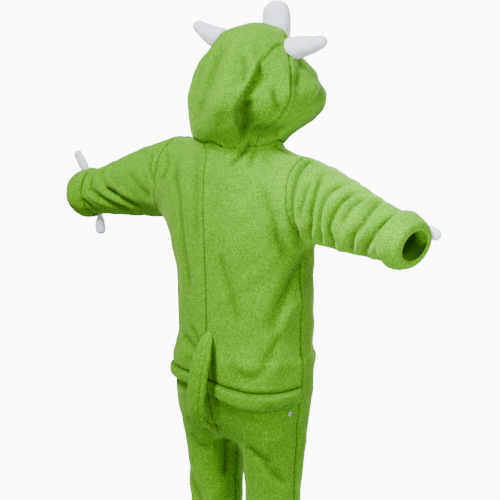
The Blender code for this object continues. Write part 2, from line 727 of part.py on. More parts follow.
def centre_line(face):
    """Centre seam of the front (-1) or back (1), from the crotch to the neck."""
    neck = neck_points([0.0 if face > 0 else 180.0])[0]
    z = np.concatenate([
        np.linspace(CROTCH_Z + 0.030, FLAP_HEM_Z, CROTCH_ROWS)[:-1],
        np.linspace(FLAP_HEM_Z, UNDERARM_Z, TORSO_ROWS + 1)[:-1],
        np.linspace(UNDERARM_Z, neck[2], UPPER_ROWS + 1),
    ])
    depth = smooth_column(TORSO, "depth", z) + face * smooth_column(TORSO, "half_depth", z)
    share = np.clip((z - SEAM_LEAN_FROM) / (neck[2] - SEAM_LEAN_FROM), 0, 1)
    guess = np.stack([neck[0] * share ** 2, depth, z], axis=1)
    line = drop(whole_form, guess, hold=(1, 0, 0))
    line[-1] = neck
    crotch = drop(whole_form, np.array([[CROTCH_X, CROTCH_Y, CROTCH_Z]]), hold=(1, 0, 0))
    return np.concatenate([crotch, line])


def side_line(hand, underarm):
    """Side seam from the ankle up to the underarm."""
    z = np.concatenate([
        np.linspace(ANKLE_Z, CROTCH_Z, LEG_ROWS + 1)[:-1],
        np.linspace(CROTCH_Z, FLAP_HEM_Z, CROTCH_ROWS + 1)[:-1],
        np.linspace(FLAP_HEM_Z, underarm[2], TORSO_ROWS + 1),
    ])
    table = legs[hand].table
    side = np.maximum(
        smooth_column(table, "side", z) + smooth_column(table, "half_side", z),
        np.where(z > -0.60, smooth_column(TORSO, "half_side", z), 0.0),
    )
    depth = smooth_column(TORSO, "depth", z)
    guess = np.stack([hand * side, depth, z], axis=1)
    line = drop(whole_form, guess, hold=(0, 0, 1))
    line[-1] = underarm
    return line


def inseam(hand, crotch):
    """Inner leg seam from the ankle up to the crotch."""
    z = np.linspace(ANKLE_Z, crotch[2], LEG_ROWS + 1)[:-1]
    guess = legs[hand].ring(z, np.full(len(z), np.pi))
    line = drop(whole_form, guess, hold=(0, 0, 1))
    return np.concatenate([line, crotch[None]])


def body_rows(hand, face, centre, side, inner):
    """Rows of a body panel from the ankle to the underarm level."""
    starts = np.concatenate([inner[:-1], centre[:CROTCH_ROWS + TORSO_ROWS + 1]])
    ends = side
    z = (starts[:, 2] + ends[:, 2]) / 2
    on_leg = legs[hand].ring(z, np.full(len(z), face * np.pi / 2))
    quarter = np.pi / 4 if hand > 0 else np.pi * 3 / 4
    on_torso = torso.ring(z, np.full(len(z), face * quarter))
    is_leg = (np.arange(len(z)) < LEG_ROWS + CROTCH_ROWS)[:, None]
    middles = np.where(is_leg, on_leg, on_torso)
    return rows_on_form(starts, middles, ends, COLUMNS + 1)


def upper_rows(hand, face, bottom, centre_top, arm):
    """Rows of a body panel from the underarm level to neck and shoulder."""
    angles = np.linspace(0, 90, NECK_CELLS + 1) if face > 0 else np.linspace(180, 90, NECK_CELLS + 1)
    neck = neck_points(hand * angles)
    shoulder = np.linspace(0, 1, COLUMNS - NECK_CELLS + 1)[1:, None]
    seam = neck[-1] * (1 - shoulder) + arm[-1] * shoulder
    seam[:-1] = drop(whole_form, seam[:-1])
    top = np.concatenate([neck, seam])
    return inner_drop(patch(bottom, top, centre_top, arm))


def clear_of_cloth(clearance, extra=None):
    """Lifts the points of a piece off the cloth it is sewn on."""
    def seat(points):
        out = points.copy()
        for _ in range(6):
            rise = fold_rise(out)
            if extra is not None:
                rise = rise + extra(out)
            low = np.minimum(whole_form(out) - rise - clearance, 0)
            out = out - unit(slope_of(whole_form, out)) * low[..., None]
        return out
    return seat


GREEN = ((0.20, 0.48, 0.05), 0.95)
WHITE = ((0.86, 0.88, 0.92), 0.9)
STEEL = ((0.75, 0.75, 0.72), 0.35)


def make_body():
    arms = {hand: armhole(hand) for hand in (LEFT, RIGHT)}
    lines = {face: centre_line(face) for face in (1, -1)}
    crotch = lines[1][0]
    names = {LEFT: "left", RIGHT: "right"}
    for hand in (LEFT, RIGHT):
        back_arm, front_arm = arms[hand]
        side = side_line(hand, back_arm[0])
        inner = inseam(hand, crotch)
        first_torso = LEG_ROWS + CROTCH_ROWS
        for face, arm in ((1, back_arm), (-1, front_arm)):
            centre = lines[face]
            low = body_rows(hand, face, centre, side, inner)
            centre_top = centre[CROTCH_ROWS + TORSO_ROWS:]
            high = upper_rows(hand, face, low[-1], centre_top, arm)
            name = names[hand]
            if face < 0:
                plain = np.concatenate([low, high[1:]])
                cloth, normals = draped(plain)
                cloth = trimmed(cloth, normals, SEAM_GAP, False)
                wall("front_" + name, cloth, normals, CLOTH, GREEN)
                continue
            plain = np.concatenate([low[first_torso:], high[1:]])
            plain = flap_drop(plain, hand)
            cloth, normals = draped(plain, flap_rise)
            for piece, rows in (("flap_band_", slice(0, 2)), ("back_", slice(1, None))):
                shape = trimmed(cloth[rows], normals[rows], SEAM_GAP, False)
                wall(piece + name, shape, normals[rows], CLOTH, GREEN)
            seat = low[:first_torso + 3]
            cloth, normals = draped(seat)
            cloth = trimmed(cloth, normals, SEAM_GAP, False)
            wall("seat_" + name, cloth, normals, CLOTH, GREEN)
        make_sleeve(hand, back_arm, front_arm, names[hand])


def make_sleeve(hand, back_arm, front_arm, name):
    ring = np.concatenate([back_arm, front_arm[-2:0:-1]])
    tube = sleeves[hand]
    angles = np.concatenate([
        np.linspace(np.pi, 0, len(back_arm)),
        np.linspace(0, -np.pi, len(front_arm))[1:-1],
    ])
    start = tube.parts(ring)[2]
    rows = [ring]
    for k in range(1, SLEEVE_ROWS + 1):
        share = k / SLEEVE_ROWS
        along = start * (1 - share) + SLEEVE_LENGTH[hand] * share
        plain = tube.ring(along, angles)
        early = max(0.0, 1 - k / 4)
        shift = tube.ring(along, angles) - tube.ring(start, angles)
        guess = plain * (1 - early) + (ring + shift) * early
        rows.append(drop(whole_form, guess, hold=tube.frame[2] if k > 3 else None))
    rows = np.array(rows)
    cloth, normals = draped(rows)
    cloth = trimmed(cloth, normals, SEAM_GAP, True)
    wall("sleeve_" + name, cloth, normals, CLOTH, GREEN, wrap=True)
    band = slice(SLEEVE_ROWS - CUFF_ROWS, SLEEVE_ROWS + 1)
    puff = np.sin(np.linspace(0, 1, CUFF_ROWS + 1) * np.pi)[:, None, None]
    out = LAYER_GAP + CUFF_CLOTH + CUFF_PUFF * puff
    rolled = cloth[band] + normals[band] * out
    wall("cuff_" + name, rolled, normals[band], CUFF_CLOTH, GREEN, wrap=True)


def hood_ribs(feet, tops, count):
    """Lines over the hood, each from its left foot to its right foot."""
    feet = np.asarray(feet, float)
    tops = np.asarray(tops, float)
    left = hood_feet(feet)[:, None]
    right = hood_feet(-feet)[:, None]
    apex = hood.root + tops[:, :1] * np.array(HOOD_DEPTH)
    apex = (apex + tops[:, 1:] * np.array([0.0, 0.0, 1.0]))[:, None]
    middle = (left + right) / 2
    angles = np.linspace(0, np.pi, 41)[None, :, None]
    lines = middle + np.cos(angles) * (left - middle) + np.sin(angles) * (apex - middle)
    lines = lines + np.array(HOOD_SIDE) * np.sin(2 * angles) * 0.035
    for _ in range(2):
        lines[:, 1:-1] = drop(hood_form, lines[:, 1:-1])
        lines = np.array([respace(line) for line in lines])
    lines = np.array([respace(line, np.linspace(0, 1, count)) for line in lines])
    step = np.minimum(np.arange(count), np.arange(count)[::-1])
    floor = np.maximum(left[..., 2], right[..., 2]) + RIB_LIFT * np.minimum(step, 3)
    lines[:, 1:-1, 2] = np.maximum(lines[:, 1:-1, 2], floor[:, 1:-1])
    lines[:, 1:-1] = drop(whole_form, lines[:, 1:-1], hold=(0, 0, 1), rounds=2)
    lines[:, 1:-1] = drop(whole_form, lines[:, 1:-1])
    return lines


def make_hood():
    count = HOOD_COLUMNS + 1
    back = hood_feet(np.linspace(HOOD_BACK_FOOT, -HOOD_BACK_FOOT, count))
    profile = np.array([(row[0], row[1], 0.0) for row in HOOD_PROFILE + [FRONT_SEAM_TOP]])
    shares = np.linspace(0, 1, HOOD_RIBS + 1)
    tops = respace(profile, shares)[:, :2]
    feet = HOOD_BACK_FOOT + (FRONT_SEAM_FOOT - HOOD_BACK_FOOT) * shares
    front_shares = np.linspace(0, 1, FRONT_RIBS + 1)[1:]
    front_feet = FRONT_SEAM_FOOT + (HEM_FOOT - FRONT_SEAM_FOOT) * front_shares
    ahead = np.array([(*FRONT_SEAM_TOP, 0.0), (*FRONT_MIDDLE_TOP, 0.0), (*HEM_TOP, 0.0)])
    front_tops = respace(ahead, np.linspace(0, 1, FRONT_RIBS + 1))[1:, :2]
    feet = np.concatenate([feet[1:], front_feet, [OPENING_FOOT]])
    tops = np.concatenate([tops[1:], front_tops, [OPENING_TOP]])
    ribs = np.concatenate([back[None], hood_ribs(feet, tops, count)])
    sheets = (
        ("hood_back", 0, HOOD_RIBS + 1),
        ("hood_front", HOOD_RIBS, HOOD_RIBS + FRONT_RIBS + 1),
        ("hood_hem", HOOD_RIBS + FRONT_RIBS, HOOD_RIBS + FRONT_RIBS + 2),
    )
    for name, first, last in sheets:
        cloth, normals = draped(ribs[first:last])
        neck_sides = "bse" if first == 0 else "se"
        cloth = trimmed(cloth, normals, SEAM_GAP, False, "t" if first == 0 else "bt")
        cloth = trimmed(cloth, normals, NECK_GAP * 2, False, neck_sides)
        wall(name, cloth, normals, CLOTH, GREEN)
    return ribs


def make_placket():
    """The front closing, a strip over the centre front with hidden snaps."""
    neck = neck_points([180.0])[0]
    z = np.linspace(PLACKET_END_Z, neck[2] - 0.004, PLACKET_ROWS + 1)
    side = np.linspace(PLACKET_HALF, -PLACKET_HALF, 3)
    depth = smooth_column(TORSO, "depth", z) - smooth_column(TORSO, "half_depth", z)
    strip = np.zeros((len(z), len(side), 3))
    strip[..., 0] = side + neck[0] * np.clip(1 + z / 0.25, 0, 1)[:, None] ** 2
    strip[..., 1] = depth[:, None]
    strip[..., 2] = z[:, None]
    strip = drop(whole_form, strip, hold=(1, 0, 0))
    cloth, normals = draped(strip)
    cloth = cloth + normals * (LAYER_GAP * 2 + PLACKET_CLOTH)
    wall("front_placket", cloth, normals, PLACKET_CLOTH, GREEN)


def hood_place(side, depth, height):
    """A point given in the hood's own directions."""
    return hood.root + np.array([side, depth, height]) @ hood.frame


def make_horns():
    seat = clear_of_cloth(SEAT_GAP)
    for name, hand, root, rows in (
        ("left", LEFT, HORN_ROOT_LEFT, HORN_LINE_LEFT),
        ("right", RIGHT, HORN_ROOT_RIGHT, HORN_LINE_RIGHT),
    ):
        side, depth, height = root
        line = []
        for out, up, forward in rows:
            line.append(hood_place(side + hand * out, depth - forward, height + up))
        stuffed(
            "horn_" + name, line, (0, 1, 0), HORN_WIDTHS, (1.0, 1.0), WHITE,
            cells=(14, 10), seat=seat,
        )
    line = [hood_place(CREST_SIDE, CREST_DEPTH - lean, up) for lean, up in CREST_LINE]
    stuffed(
        "horn_middle", line, hood.frame[1], CREST_WIDTHS, (0.72, 0.72), WHITE,
        cells=(16, 10), seat=seat,
    )


def make_tail():
    stuffed(
        "tail", TAIL_LINE, (0, 1, 0), TAIL_WIDTHS, (0.60, 0.60), GREEN,
        cells=(14, 14), seat=clear_of_cloth(TAIL_GAP, flap_rise),
    )


def make_claws():
    for name, line, widths, lift in (
        ("claw_left_top", CLAW_TOP_LINE, CLAW_TOP_WIDTHS, CLAW_LIFT),
        ("claw_left_under", CLAW_UNDER_LINE, CLAW_UNDER_WIDTHS, 0.0),
        ("claw_right_front", CLAW_FRONT_LINE, CLAW_TOP_WIDTHS, CLAW_LIFT + 0.0004),
    ):
        seat = clear_of_cloth(lift)
        stuffed(name, line, (0, 1, 0), widths, (0.55, 0.55), WHITE, cells=(10, 8), seat=seat)


def make_snaps():
    """Snap fasteners of the back flap, on the cloth under its hem."""
    for name, guess in (("snap_left", SNAP_LEFT), ("snap_right", SNAP_RIGHT)):
        place = drop(whole_form, np.array([guess], float))
        place, normal = draped(place)
        place = place[0]
        normal = normal[0]
        thing = solid(name, STEEL)
        tool = bmesh.new()
        bmesh.ops.create_cone(
            tool, cap_ends=True, segments=20, radius1=SNAP_RADIUS,
            radius2=SNAP_RADIUS * 0.86, depth=SNAP_HEIGHT,
        )
        across = unit(np.cross([0.0, 0.0, 1.0], normal))
        up = np.cross(normal, across)
        for vert in tool.verts:
            local = np.array(vert.co)
            local[2] += SNAP_HEIGHT / 2 + SNAP_LIFT
            vert.co = place + across * local[0] + up * local[1] + normal * local[2]
        finish(thing, tool)


def main():
    for thing in list(bpy.data.objects):
        bpy.data.objects.remove(thing)
    make_body()
    make_hood()
    make_placket()
    make_horns()
    make_tail()
    make_claws()
    make_snaps()


main()
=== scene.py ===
"""Looks of the hooded one-piece plush pajamas.

Each cut piece is a thin shell of plush laid on the same body sections as its
solid, finer, with sewn seams, soft folds and pile.  Metres, +Z up, the wearer
faces -Y and the wearer's left is +X.
"""
import math
from collections import namedtuple

import bmesh
import bpy
import numpy as np
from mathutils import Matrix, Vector


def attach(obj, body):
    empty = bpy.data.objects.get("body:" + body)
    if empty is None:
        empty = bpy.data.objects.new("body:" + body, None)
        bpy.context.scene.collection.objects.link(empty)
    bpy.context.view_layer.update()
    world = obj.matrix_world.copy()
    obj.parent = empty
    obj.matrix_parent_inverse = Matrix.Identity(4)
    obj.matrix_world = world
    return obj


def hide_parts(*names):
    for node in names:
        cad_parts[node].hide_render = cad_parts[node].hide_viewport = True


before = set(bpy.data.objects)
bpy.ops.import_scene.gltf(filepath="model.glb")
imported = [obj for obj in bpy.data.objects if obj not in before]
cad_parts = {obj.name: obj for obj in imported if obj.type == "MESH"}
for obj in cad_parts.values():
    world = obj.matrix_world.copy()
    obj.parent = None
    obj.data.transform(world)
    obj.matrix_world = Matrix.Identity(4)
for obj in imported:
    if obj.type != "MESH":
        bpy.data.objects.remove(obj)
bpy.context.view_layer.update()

# The wearer's hands, as the sign of their side.
LEFT = 1
RIGHT = -1
NAMES = {LEFT: "left", RIGHT: "right"}

# Driving sizes, metres and degrees.
CLOTH = 0.0022
LAYER_GAP = 0.0004
MITRE_LEAST = 0.45
NECK_HALF_WIDTH = 0.078
NECK_HALF_DEPTH = 0.080
NECK_BACK = 0.026
NECK_MIDDLE = 0.006
NECK_RISE = 0.020
NECK_DIP = 0.030
NECK_BACK_DIP = 0.008
ARMHOLE_X = 0.172
ARMHOLE_TILT = 0.10
UNDERARM_Z = -0.205
FLAP_HEM_Z = -0.500
FLAP_STAND = 0.0062
STAND_FROM = -0.400
STAND_OVER = 0.050
HEM_DROP = {LEFT: (-0.008, 0.000, 0.006), RIGHT: (-0.014, -0.042, -0.038)}
HEM_DROP_FROM = -0.410
CROTCH_X = 0.0065
CROTCH_Z = -0.625
CROTCH_Y = 0.010
ANKLE_Z = -0.905
PLACKET_HALF = 0.014
PLACKET_END_Z = -0.470
PLACKET_ROWS = 16
PLACKET_CLOTH = 0.0020
SEAT_GAP = 0.0002
SNAP_LIFT = 0.0005
SNAP_RIGHT = (-0.144, 0.038, -0.556)
SNAP_LEFT = (0.144, 0.038, -0.522)

Section = namedtuple("Section", "along side depth half_side half_depth power")

# Torso: along = height, side = middle to the left, depth = middle to the back.
TORSO = [
    Section(-0.640, 0.000, 0.008, 0.030, 0.030, 2.0),
    Section(-0.618, 0.002, 0.008, 0.084, 0.075, 2.1),
    Section(-0.585, 0.004, 0.008, 0.118, 0.104, 2.2),
    Section(-0.540, 0.004, 0.008, 0.135, 0.119, 2.2),
    Section(-0.490, 0.003, 0.007, 0.139, 0.126, 2.2),
    Section(-0.430, 0.001, 0.006, 0.142, 0.130, 2.2),
    Section(-0.360, 0.000, 0.006, 0.143, 0.130, 2.2),
    Section(-0.280, 0.000, 0.010, 0.145, 0.128, 2.2),
    Section(-0.200, 0.002, 0.018, 0.158, 0.123, 2.3),
    Section(-0.130, 0.004, 0.026, 0.162, 0.113, 2.3),
    Section(-0.070, 0.006, 0.030, 0.140, 0.098, 2.2),
    Section(-0.030, 0.006, 0.028, 0.104, 0.086, 2.1),
    Section(0.010, 0.006, 0.026, 0.078, 0.080, 2.0),
    Section(0.060, 0.006, 0.026, 0.070, 0.075, 2.0),
]
# Sleeves: along = distance from the armhole out along the arm,
# side = middle above the arm's line, depth = middle to the back.
SLEEVE_LEFT = [
    Section(-0.110, -0.010, 0.020, 0.060, 0.060, 2.2),
    Section(-0.050, -0.004, 0.018, 0.080, 0.078, 2.2),
    Section(0.000, 0.000, 0.016, 0.090, 0.080, 2.2),
    Section(0.060, 0.004, 0.012, 0.082, 0.073, 2.1),
    Section(0.130, 0.004, 0.008, 0.072, 0.065, 2.1),
    Section(0.200, 0.002, 0.004, 0.062, 0.058, 2.0),
    Section(0.270, 0.000, 0.002, 0.051, 0.051, 2.0),
    Section(0.340, 0.000, 0.000, 0.042, 0.044, 2.0),
]
SLEEVE_RIGHT = [
    Section(-0.110, -0.010, 0.020, 0.060, 0.060, 2.2),
    Section(-0.050, -0.006, 0.018, 0.078, 0.078, 2.2),
    Section(0.000, -0.004, 0.016, 0.084, 0.080, 2.2),
    Section(0.060, 0.002, 0.012, 0.076, 0.073, 2.1),
    Section(0.130, 0.004, 0.008, 0.067, 0.065, 2.1),
    Section(0.200, 0.006, 0.004, 0.056, 0.057, 2.0),
    Section(0.250, 0.008, 0.002, 0.049, 0.051, 2.0),
    Section(0.300, 0.010, 0.000, 0.042, 0.045, 2.0),
]
SLEEVE_ROOT = (0.150, 0.006, -0.112)
SLEEVE_RISE_LEFT = 0.018
SLEEVE_DROP_LEFT = 10.0
SLEEVE_DROP_RIGHT = 15.0
SLEEVE_FORWARD_LEFT = 0.0
SLEEVE_FORWARD_RIGHT = -10.0
SLEEVE_LENGTH = {LEFT: 0.335, RIGHT: 0.292}
CUFF_ROWS = 4
CLAW_LIFT = 0.0038

# Legs: along = height, side = middle away from the crotch, depth = to the back.
LEG_LEFT = [
    Section(-0.930, 0.080, 0.012, 0.052, 0.056, 2.0),
    Section(-0.860, 0.079, 0.010, 0.053, 0.058, 2.0),
    Section(-0.780, 0.079, 0.008, 0.054, 0.061, 2.0),
    Section(-0.700, 0.081, 0.007, 0.054, 0.068, 2.0),
    Section(-0.650, 0.080, 0.006, 0.058, 0.078, 2.0),
    Section(-0.600, 0.076, 0.006, 0.064, 0.092, 2.1),
    Section(-0.540, 0.069, 0.006, 0.072, 0.102, 2.1),
    Section(-0.460, 0.062, 0.005, 0.074, 0.110, 2.1),
]
LEG_RIGHT = [
    Section(-0.930, 0.079, 0.012, 0.050, 0.055, 2.0),
    Section(-0.860, 0.077, 0.010, 0.052, 0.057, 2.0),
    Section(-0.780, 0.074, 0.008, 0.055, 0.061, 2.0),
    Section(-0.700, 0.072, 0.007, 0.058, 0.071, 2.0),
    Section(-0.650, 0.071, 0.006, 0.062, 0.080, 2.0),
    Section(-0.600, 0.068, 0.006, 0.067, 0.092, 2.1),
    Section(-0.540, 0.064, 0.006, 0.071, 0.102, 2.1),
    Section(-0.460, 0.062, 0.005, 0.073, 0.110, 2.1),
]
# Hood: along = height, side and depth in the hood's own turned directions.
HOOD_TURN = 8.0
HOOD = [
    Section(-0.025, 0.000, 0.006, 0.074, 0.076, 2.0),
    Section(0.010, -0.006, 0.000, 0.100, 0.112, 2.0),
    Section(0.040, -0.017, -0.016, 0.114, 0.140, 2.1),
    Section(0.083, -0.023, -0.0235, 0.125, 0.152, 2.1),
    Section(0.117, -0.020, -0.021, 0.118, 0.135, 2.1),
    Section(0.150, -0.016, -0.0165, 0.105, 0.112, 2.1),
    Section(0.172, -0.0145, -0.015, 0.092, 0.096, 2.0),
    Section(0.197, -0.016, -0.016, 0.075, 0.077, 2.0),
    Section(0.220, -0.019, -0.020, 0.046, 0.048, 2.0),
    Section(0.230, -0.020, -0.020, 0.014, 0.016, 2.0),
]


def between(first, second, leave, arrive, u):
    """A smooth way from first to second, with the given slopes at its ends."""
    start = first * (1 + 2 * u) * (1 - u) ** 2 + leave * u * (1 - u) ** 2
    return start + second * u * u * (3 - 2 * u) + arrive * u * u * (u - 1)


def through_three(first, middle, last, t):
    """A curve through three values, at 0, a half and 1."""
    ends = first * (2 * t - 1) * (t - 1) + last * t * (2 * t - 1)
    return ends + middle * 4 * t * (1 - t)


def eased(share):
    """A share from 0 to 1 that starts and ends softly."""
    share = np.clip(share, 0, 1)
    return share * share * (3 - 2 * share)


def smooth_rows(table, at):
    """All sizes of a table as smooth curves, read at the given places."""
    rows = np.array(table, float)
    places = rows[:, 0]
    values = rows[:, 1:]
    slope = np.gradient(values, places, axis=0)
    at = np.clip(at, places[0], places[-1])
    low = np.clip(np.searchsorted(places, at, side="right") - 1, 0, len(places) - 2)
    step = (places[low + 1] - places[low])[..., None]
    u = (at - places[low])[..., None] / step
    return between(values[low], values[low + 1], slope[low] * step, slope[low + 1] * step, u)


def smooth_column(table, name, at):
    """One size of a table as a smooth curve, read at the given places."""
    return smooth_rows(table, np.asarray(at, float))[..., Section._fields.index(name) - 1]


class Tube:
    """A tube of cloth: sections along a straight line, from a table."""

    def __init__(self, table, root, side, depth, along):
        self.table = table
        self.root = np.array(root, float)
        self.frame = np.array([side, depth, along], float)

    def parts(self, points):
        """Side, depth and length of points, and the sizes of the tube there."""
        local = (points - self.root) @ self.frame.T
        sizes = smooth_rows(self.table, local[..., 2])
        side = local[..., 0] - sizes[..., 0]
        depth = local[..., 1] - sizes[..., 1]
        return side, depth, local[..., 2], sizes

    def reach(self, points):
        """Distance outside the tube, less than zero inside."""
        side, depth, along, sizes = self.parts(points)
        far = np.hypot(side, depth) + 1e-9
        ratio = (np.abs(side / far) / sizes[..., 2]) ** sizes[..., 4]
        ratio = ratio + (np.abs(depth / far) / sizes[..., 3]) ** sizes[..., 4]
        outside = far - ratio ** (-1 / sizes[..., 4])
        return np.maximum(outside, self.table[0].along - along)

    def ring(self, along, angles):
        """Points round the tube; angle 0 is its side, 90 degrees its back."""
        along = np.broadcast_to(along, np.shape(angles))
        sizes = smooth_rows(self.table, np.asarray(along, float))
        side = sizes[..., 0] + sizes[..., 2] * np.cos(angles)
        depth = sizes[..., 1] + sizes[..., 3] * np.sin(angles)
        local = np.stack([side, depth, along], axis=-1)
        return local @ self.frame + self.root


def sleeve_tube(hand, table, drop_angle, forward, rise):
    """The sleeve's tube; its side direction is up and its depth is back."""
    drop = math.radians(drop_angle)
    turn = math.radians(forward)
    out = np.array([hand * math.cos(turn), -math.sin(turn), 0.0])
    along = out * math.cos(drop) + np.array([0.0, 0.0, -math.sin(drop)])
    up = out * math.sin(drop) + np.array([0.0, 0.0, math.cos(drop)])
    back = np.array([hand * math.sin(turn), math.cos(turn), 0.0])
    root = (hand * SLEEVE_ROOT[0], SLEEVE_ROOT[1], SLEEVE_ROOT[2] + rise)
    return Tube(table, root, up, back, along)


def leg_tube(hand, table):
    return Tube(table, (0, 0, 0), (hand, 0, 0), (0, 1, 0), (0, 0, 1))


TURN = math.radians(HOOD_TURN)
HOOD_SIDE = (math.cos(TURN), -math.sin(TURN), 0.0)
HOOD_DEPTH = (math.sin(TURN), math.cos(TURN), 0.0)
torso = Tube(TORSO, (0, 0, 0), (1, 0, 0), (0, 1, 0), (0, 0, 1))
sleeves = {
    LEFT: sleeve_tube(
        LEFT, SLEEVE_LEFT, SLEEVE_DROP_LEFT, SLEEVE_FORWARD_LEFT, SLEEVE_RISE_LEFT
    ),
    RIGHT: sleeve_tube(
        RIGHT, SLEEVE_RIGHT, SLEEVE_DROP_RIGHT, SLEEVE_FORWARD_RIGHT, 0.0
    ),
}
legs = {LEFT: leg_tube(LEFT, LEG_LEFT), RIGHT: leg_tube(RIGHT, LEG_RIGHT)}
hood = Tube(HOOD, (0, 0.020, 0), HOOD_SIDE, HOOD_DEPTH, (0, 0, 1))
TUBES = {
    "torso": torso,
    "sleeve_left": sleeves[LEFT],
    "sleeve_right": sleeves[RIGHT],
    "leg_left": legs[LEFT],
    "leg_right": legs[RIGHT],
    "hood": hood,
}


# How softly the forms run into one another, and how points are moved onto them.
LEG_BLEND = 0.030
SLEEVE_BLEND = 0.045
HOOD_BLEND = 0.016
SLOPE_STEP = 0.0004
SLOPE_LEAST = 0.04
MOVE_MOST = 0.03
UP = np.array([0.0, 0.0, 1.0])


def blend(first, second, width):
    """The nearer of two distances, rounded where they meet."""
    mix = np.clip(0.5 + 0.5 * (second - first) / width, 0, 1)
    return second * (1 - mix) + first * mix - width * mix * (1 - mix)


def body_form(points):
    """Distance outside the garment below the neck."""
    trunk = torso.reach(points)
    trunk = np.maximum(trunk, points[..., 2] - TORSO[-1].along)
    lower = np.minimum(legs[LEFT].reach(points), legs[RIGHT].reach(points))
    lower = np.maximum(lower, points[..., 2] - LEG_LEFT[-1].along)
    form = blend(trunk, lower, LEG_BLEND)
    for hand in (LEFT, RIGHT):
        form = blend(form, sleeves[hand].reach(points), SLEEVE_BLEND)
    return form


def hood_form(points):
    return np.maximum(hood.reach(points), points[..., 2] - HOOD[-1].along)


def whole_form(points):
    return blend(body_form(points), hood_form(points), HOOD_BLEND)


def slope_of(form, points):
    """Outward direction of the form, not yet of unit length."""
    moves = (np.eye(3) * SLOPE_STEP).reshape(3, *([1] * (points.ndim - 1)), 3)
    ahead = form(points[None] + moves)
    behind = form(points[None] - moves)
    return np.moveaxis(ahead - behind, 0, -1) / (2 * SLOPE_STEP)


def unit(vectors):
    return vectors / np.maximum(np.linalg.norm(vectors, axis=-1, keepdims=True), 1e-12)


def drop(form, points, hold=None, rounds=6):
    """Moves points onto the form, in a plane square to hold if one is given."""
    points = np.array(points, float)
    for _ in range(rounds):
        slope = slope_of(form, points)
        if hold is not None:
            hold = np.asarray(hold, float)
            slope = slope - (slope @ hold)[..., None] * hold
        size = np.maximum((slope ** 2).sum(-1), SLOPE_LEAST)
        move = np.clip(form(points) / size, -MOVE_MOST, MOVE_MOST)
        points = points - move[..., None] * slope
    return points


def respace(row, places=None):
    """Points spread along the row at equal or given shares of its length."""
    lengths = np.linalg.norm(np.diff(row, axis=0), axis=1)
    total = np.concatenate([[0], np.cumsum(lengths)])
    if places is None:
        places = np.linspace(0, 1, len(row))
    wanted = np.asarray(places) * total[-1]
    return np.stack([np.interp(wanted, total, row[:, k]) for k in range(3)], axis=1)


def patch(bottom, top, start, end):
    """Rows of points filling four border rows."""
    rows = len(start)
    columns = len(bottom)
    t = np.linspace(0, 1, rows)[:, None, None]
    s = np.linspace(0, 1, columns)[None, :, None]
    across = (1 - s) * start[:, None] + s * end[:, None]
    upright = (1 - t) * bottom[None] + t * top[None]
    corners = (1 - t) * ((1 - s) * bottom[0] + s * bottom[-1])
    corners = corners + t * ((1 - s) * top[0] + s * top[-1])
    return across + upright - corners


# Counts of mesh cells.
COLUMNS = 11
NECK_CELLS = 6
TORSO_ROWS = 11
CROTCH_ROWS = 6
LEG_ROWS = 8
UPPER_ROWS = 8
SLEEVE_ROWS = 24
EARLY_ROWS = 4
HOOD_RIBS = 10
HOOD_COLUMNS = 22
FRONT_RIBS = 6
RIB_LIFT = 0.005
RIB_POINTS = 41
RIB_SPREAD = 0.035

# Hood seams: the foot of each on the neck ring, degrees from the back,
# and the top of its arc in the hood's own depth and height.
HOOD_BACK_FOOT = 30.0
FRONT_SEAM_FOOT = 62.0
FRONT_SEAM_TOP = (-0.045, 0.222)
HEM_FOOT = 142.0
HEM_TOP = (-0.170, 0.105)
OPENING_FOOT = 157.0
OPENING_TOP = (-0.172, 0.088)
FRONT_MIDDLE_TOP = (-0.125, 0.165)
HOOD_PROFILE = [
    (0.086, 0.000),
    (0.118, 0.045),
    (0.126, 0.083),
    (0.112, 0.125),
    (0.090, 0.160),
    (0.060, 0.195),
    (0.025, 0.220),
    (-0.010, 0.229),
    (-0.026, 0.228),
]

# Stuffed horns on the hood: the line of each runs outward, up and forward
# from its place on the hood; the middle one is a short upright pad.
HORN_ROOT_LEFT = (0.060, -0.006, 0.196)
HORN_ROOT_RIGHT = (-0.092, -0.040, 0.178)
HORN_LINE_LEFT = [
    (-0.004, -0.002, 0.000),
    (0.030, 0.007, 0.004),
    (0.064, 0.019, 0.006),
    (0.096, 0.035, 0.006),
]
HORN_LINE_RIGHT = [
    (-0.004, -0.001, 0.000),
    (0.030, 0.004, 0.004),
    (0.064, 0.009, 0.006),
    (0.098, 0.016, 0.006),
]
HORN_WIDTHS = (0.0235, 0.0235, 0.0220, 0.0195, 0.0165, 0.0135, 0.0105)
CREST_SIDE = -0.024
CREST_DEPTH = -0.080
CREST_LINE = [(0.000, 0.176), (0.002, 0.212), (0.004, 0.245), (0.004, 0.276)]
CREST_WIDTHS = (0.027, 0.032, 0.036, 0.037, 0.034, 0.025)
TAIL_LINE = [
    (-0.008, 0.136, -0.384),
    (-0.007, 0.153, -0.422),
    (-0.001, 0.163, -0.475),
    (0.006, 0.164, -0.530),
    (0.009, 0.155, -0.578),
]
TAIL_WIDTHS = (0.010, 0.015, 0.019, 0.021, 0.022, 0.021, 0.018, 0.012)
CLAW_TOP_LINE = [(0.450, 0.016, -0.103), (0.462, 0.018, -0.080), (0.480, 0.020, -0.052)]
CLAW_TOP_WIDTHS = (0.0085, 0.0095, 0.0100, 0.0090)
CLAW_UNDER_LINE = [(0.415, 0.012, -0.180), (0.416, 0.012, -0.208), (0.414, 0.012, -0.238)]
CLAW_UNDER_WIDTHS = (0.0035, 0.0045, 0.0100, 0.0115, 0.0100)
CLAW_FRONT_LINE = [(-0.398, -0.002, -0.160), (-0.422, -0.006, -0.160), (-0.454, -0.003, -0.166)]

# The centre back seam leans to the wearer's left near the neck.
SEAM_LEAN = 0.014
SEAM_LEAN_FROM = -0.250


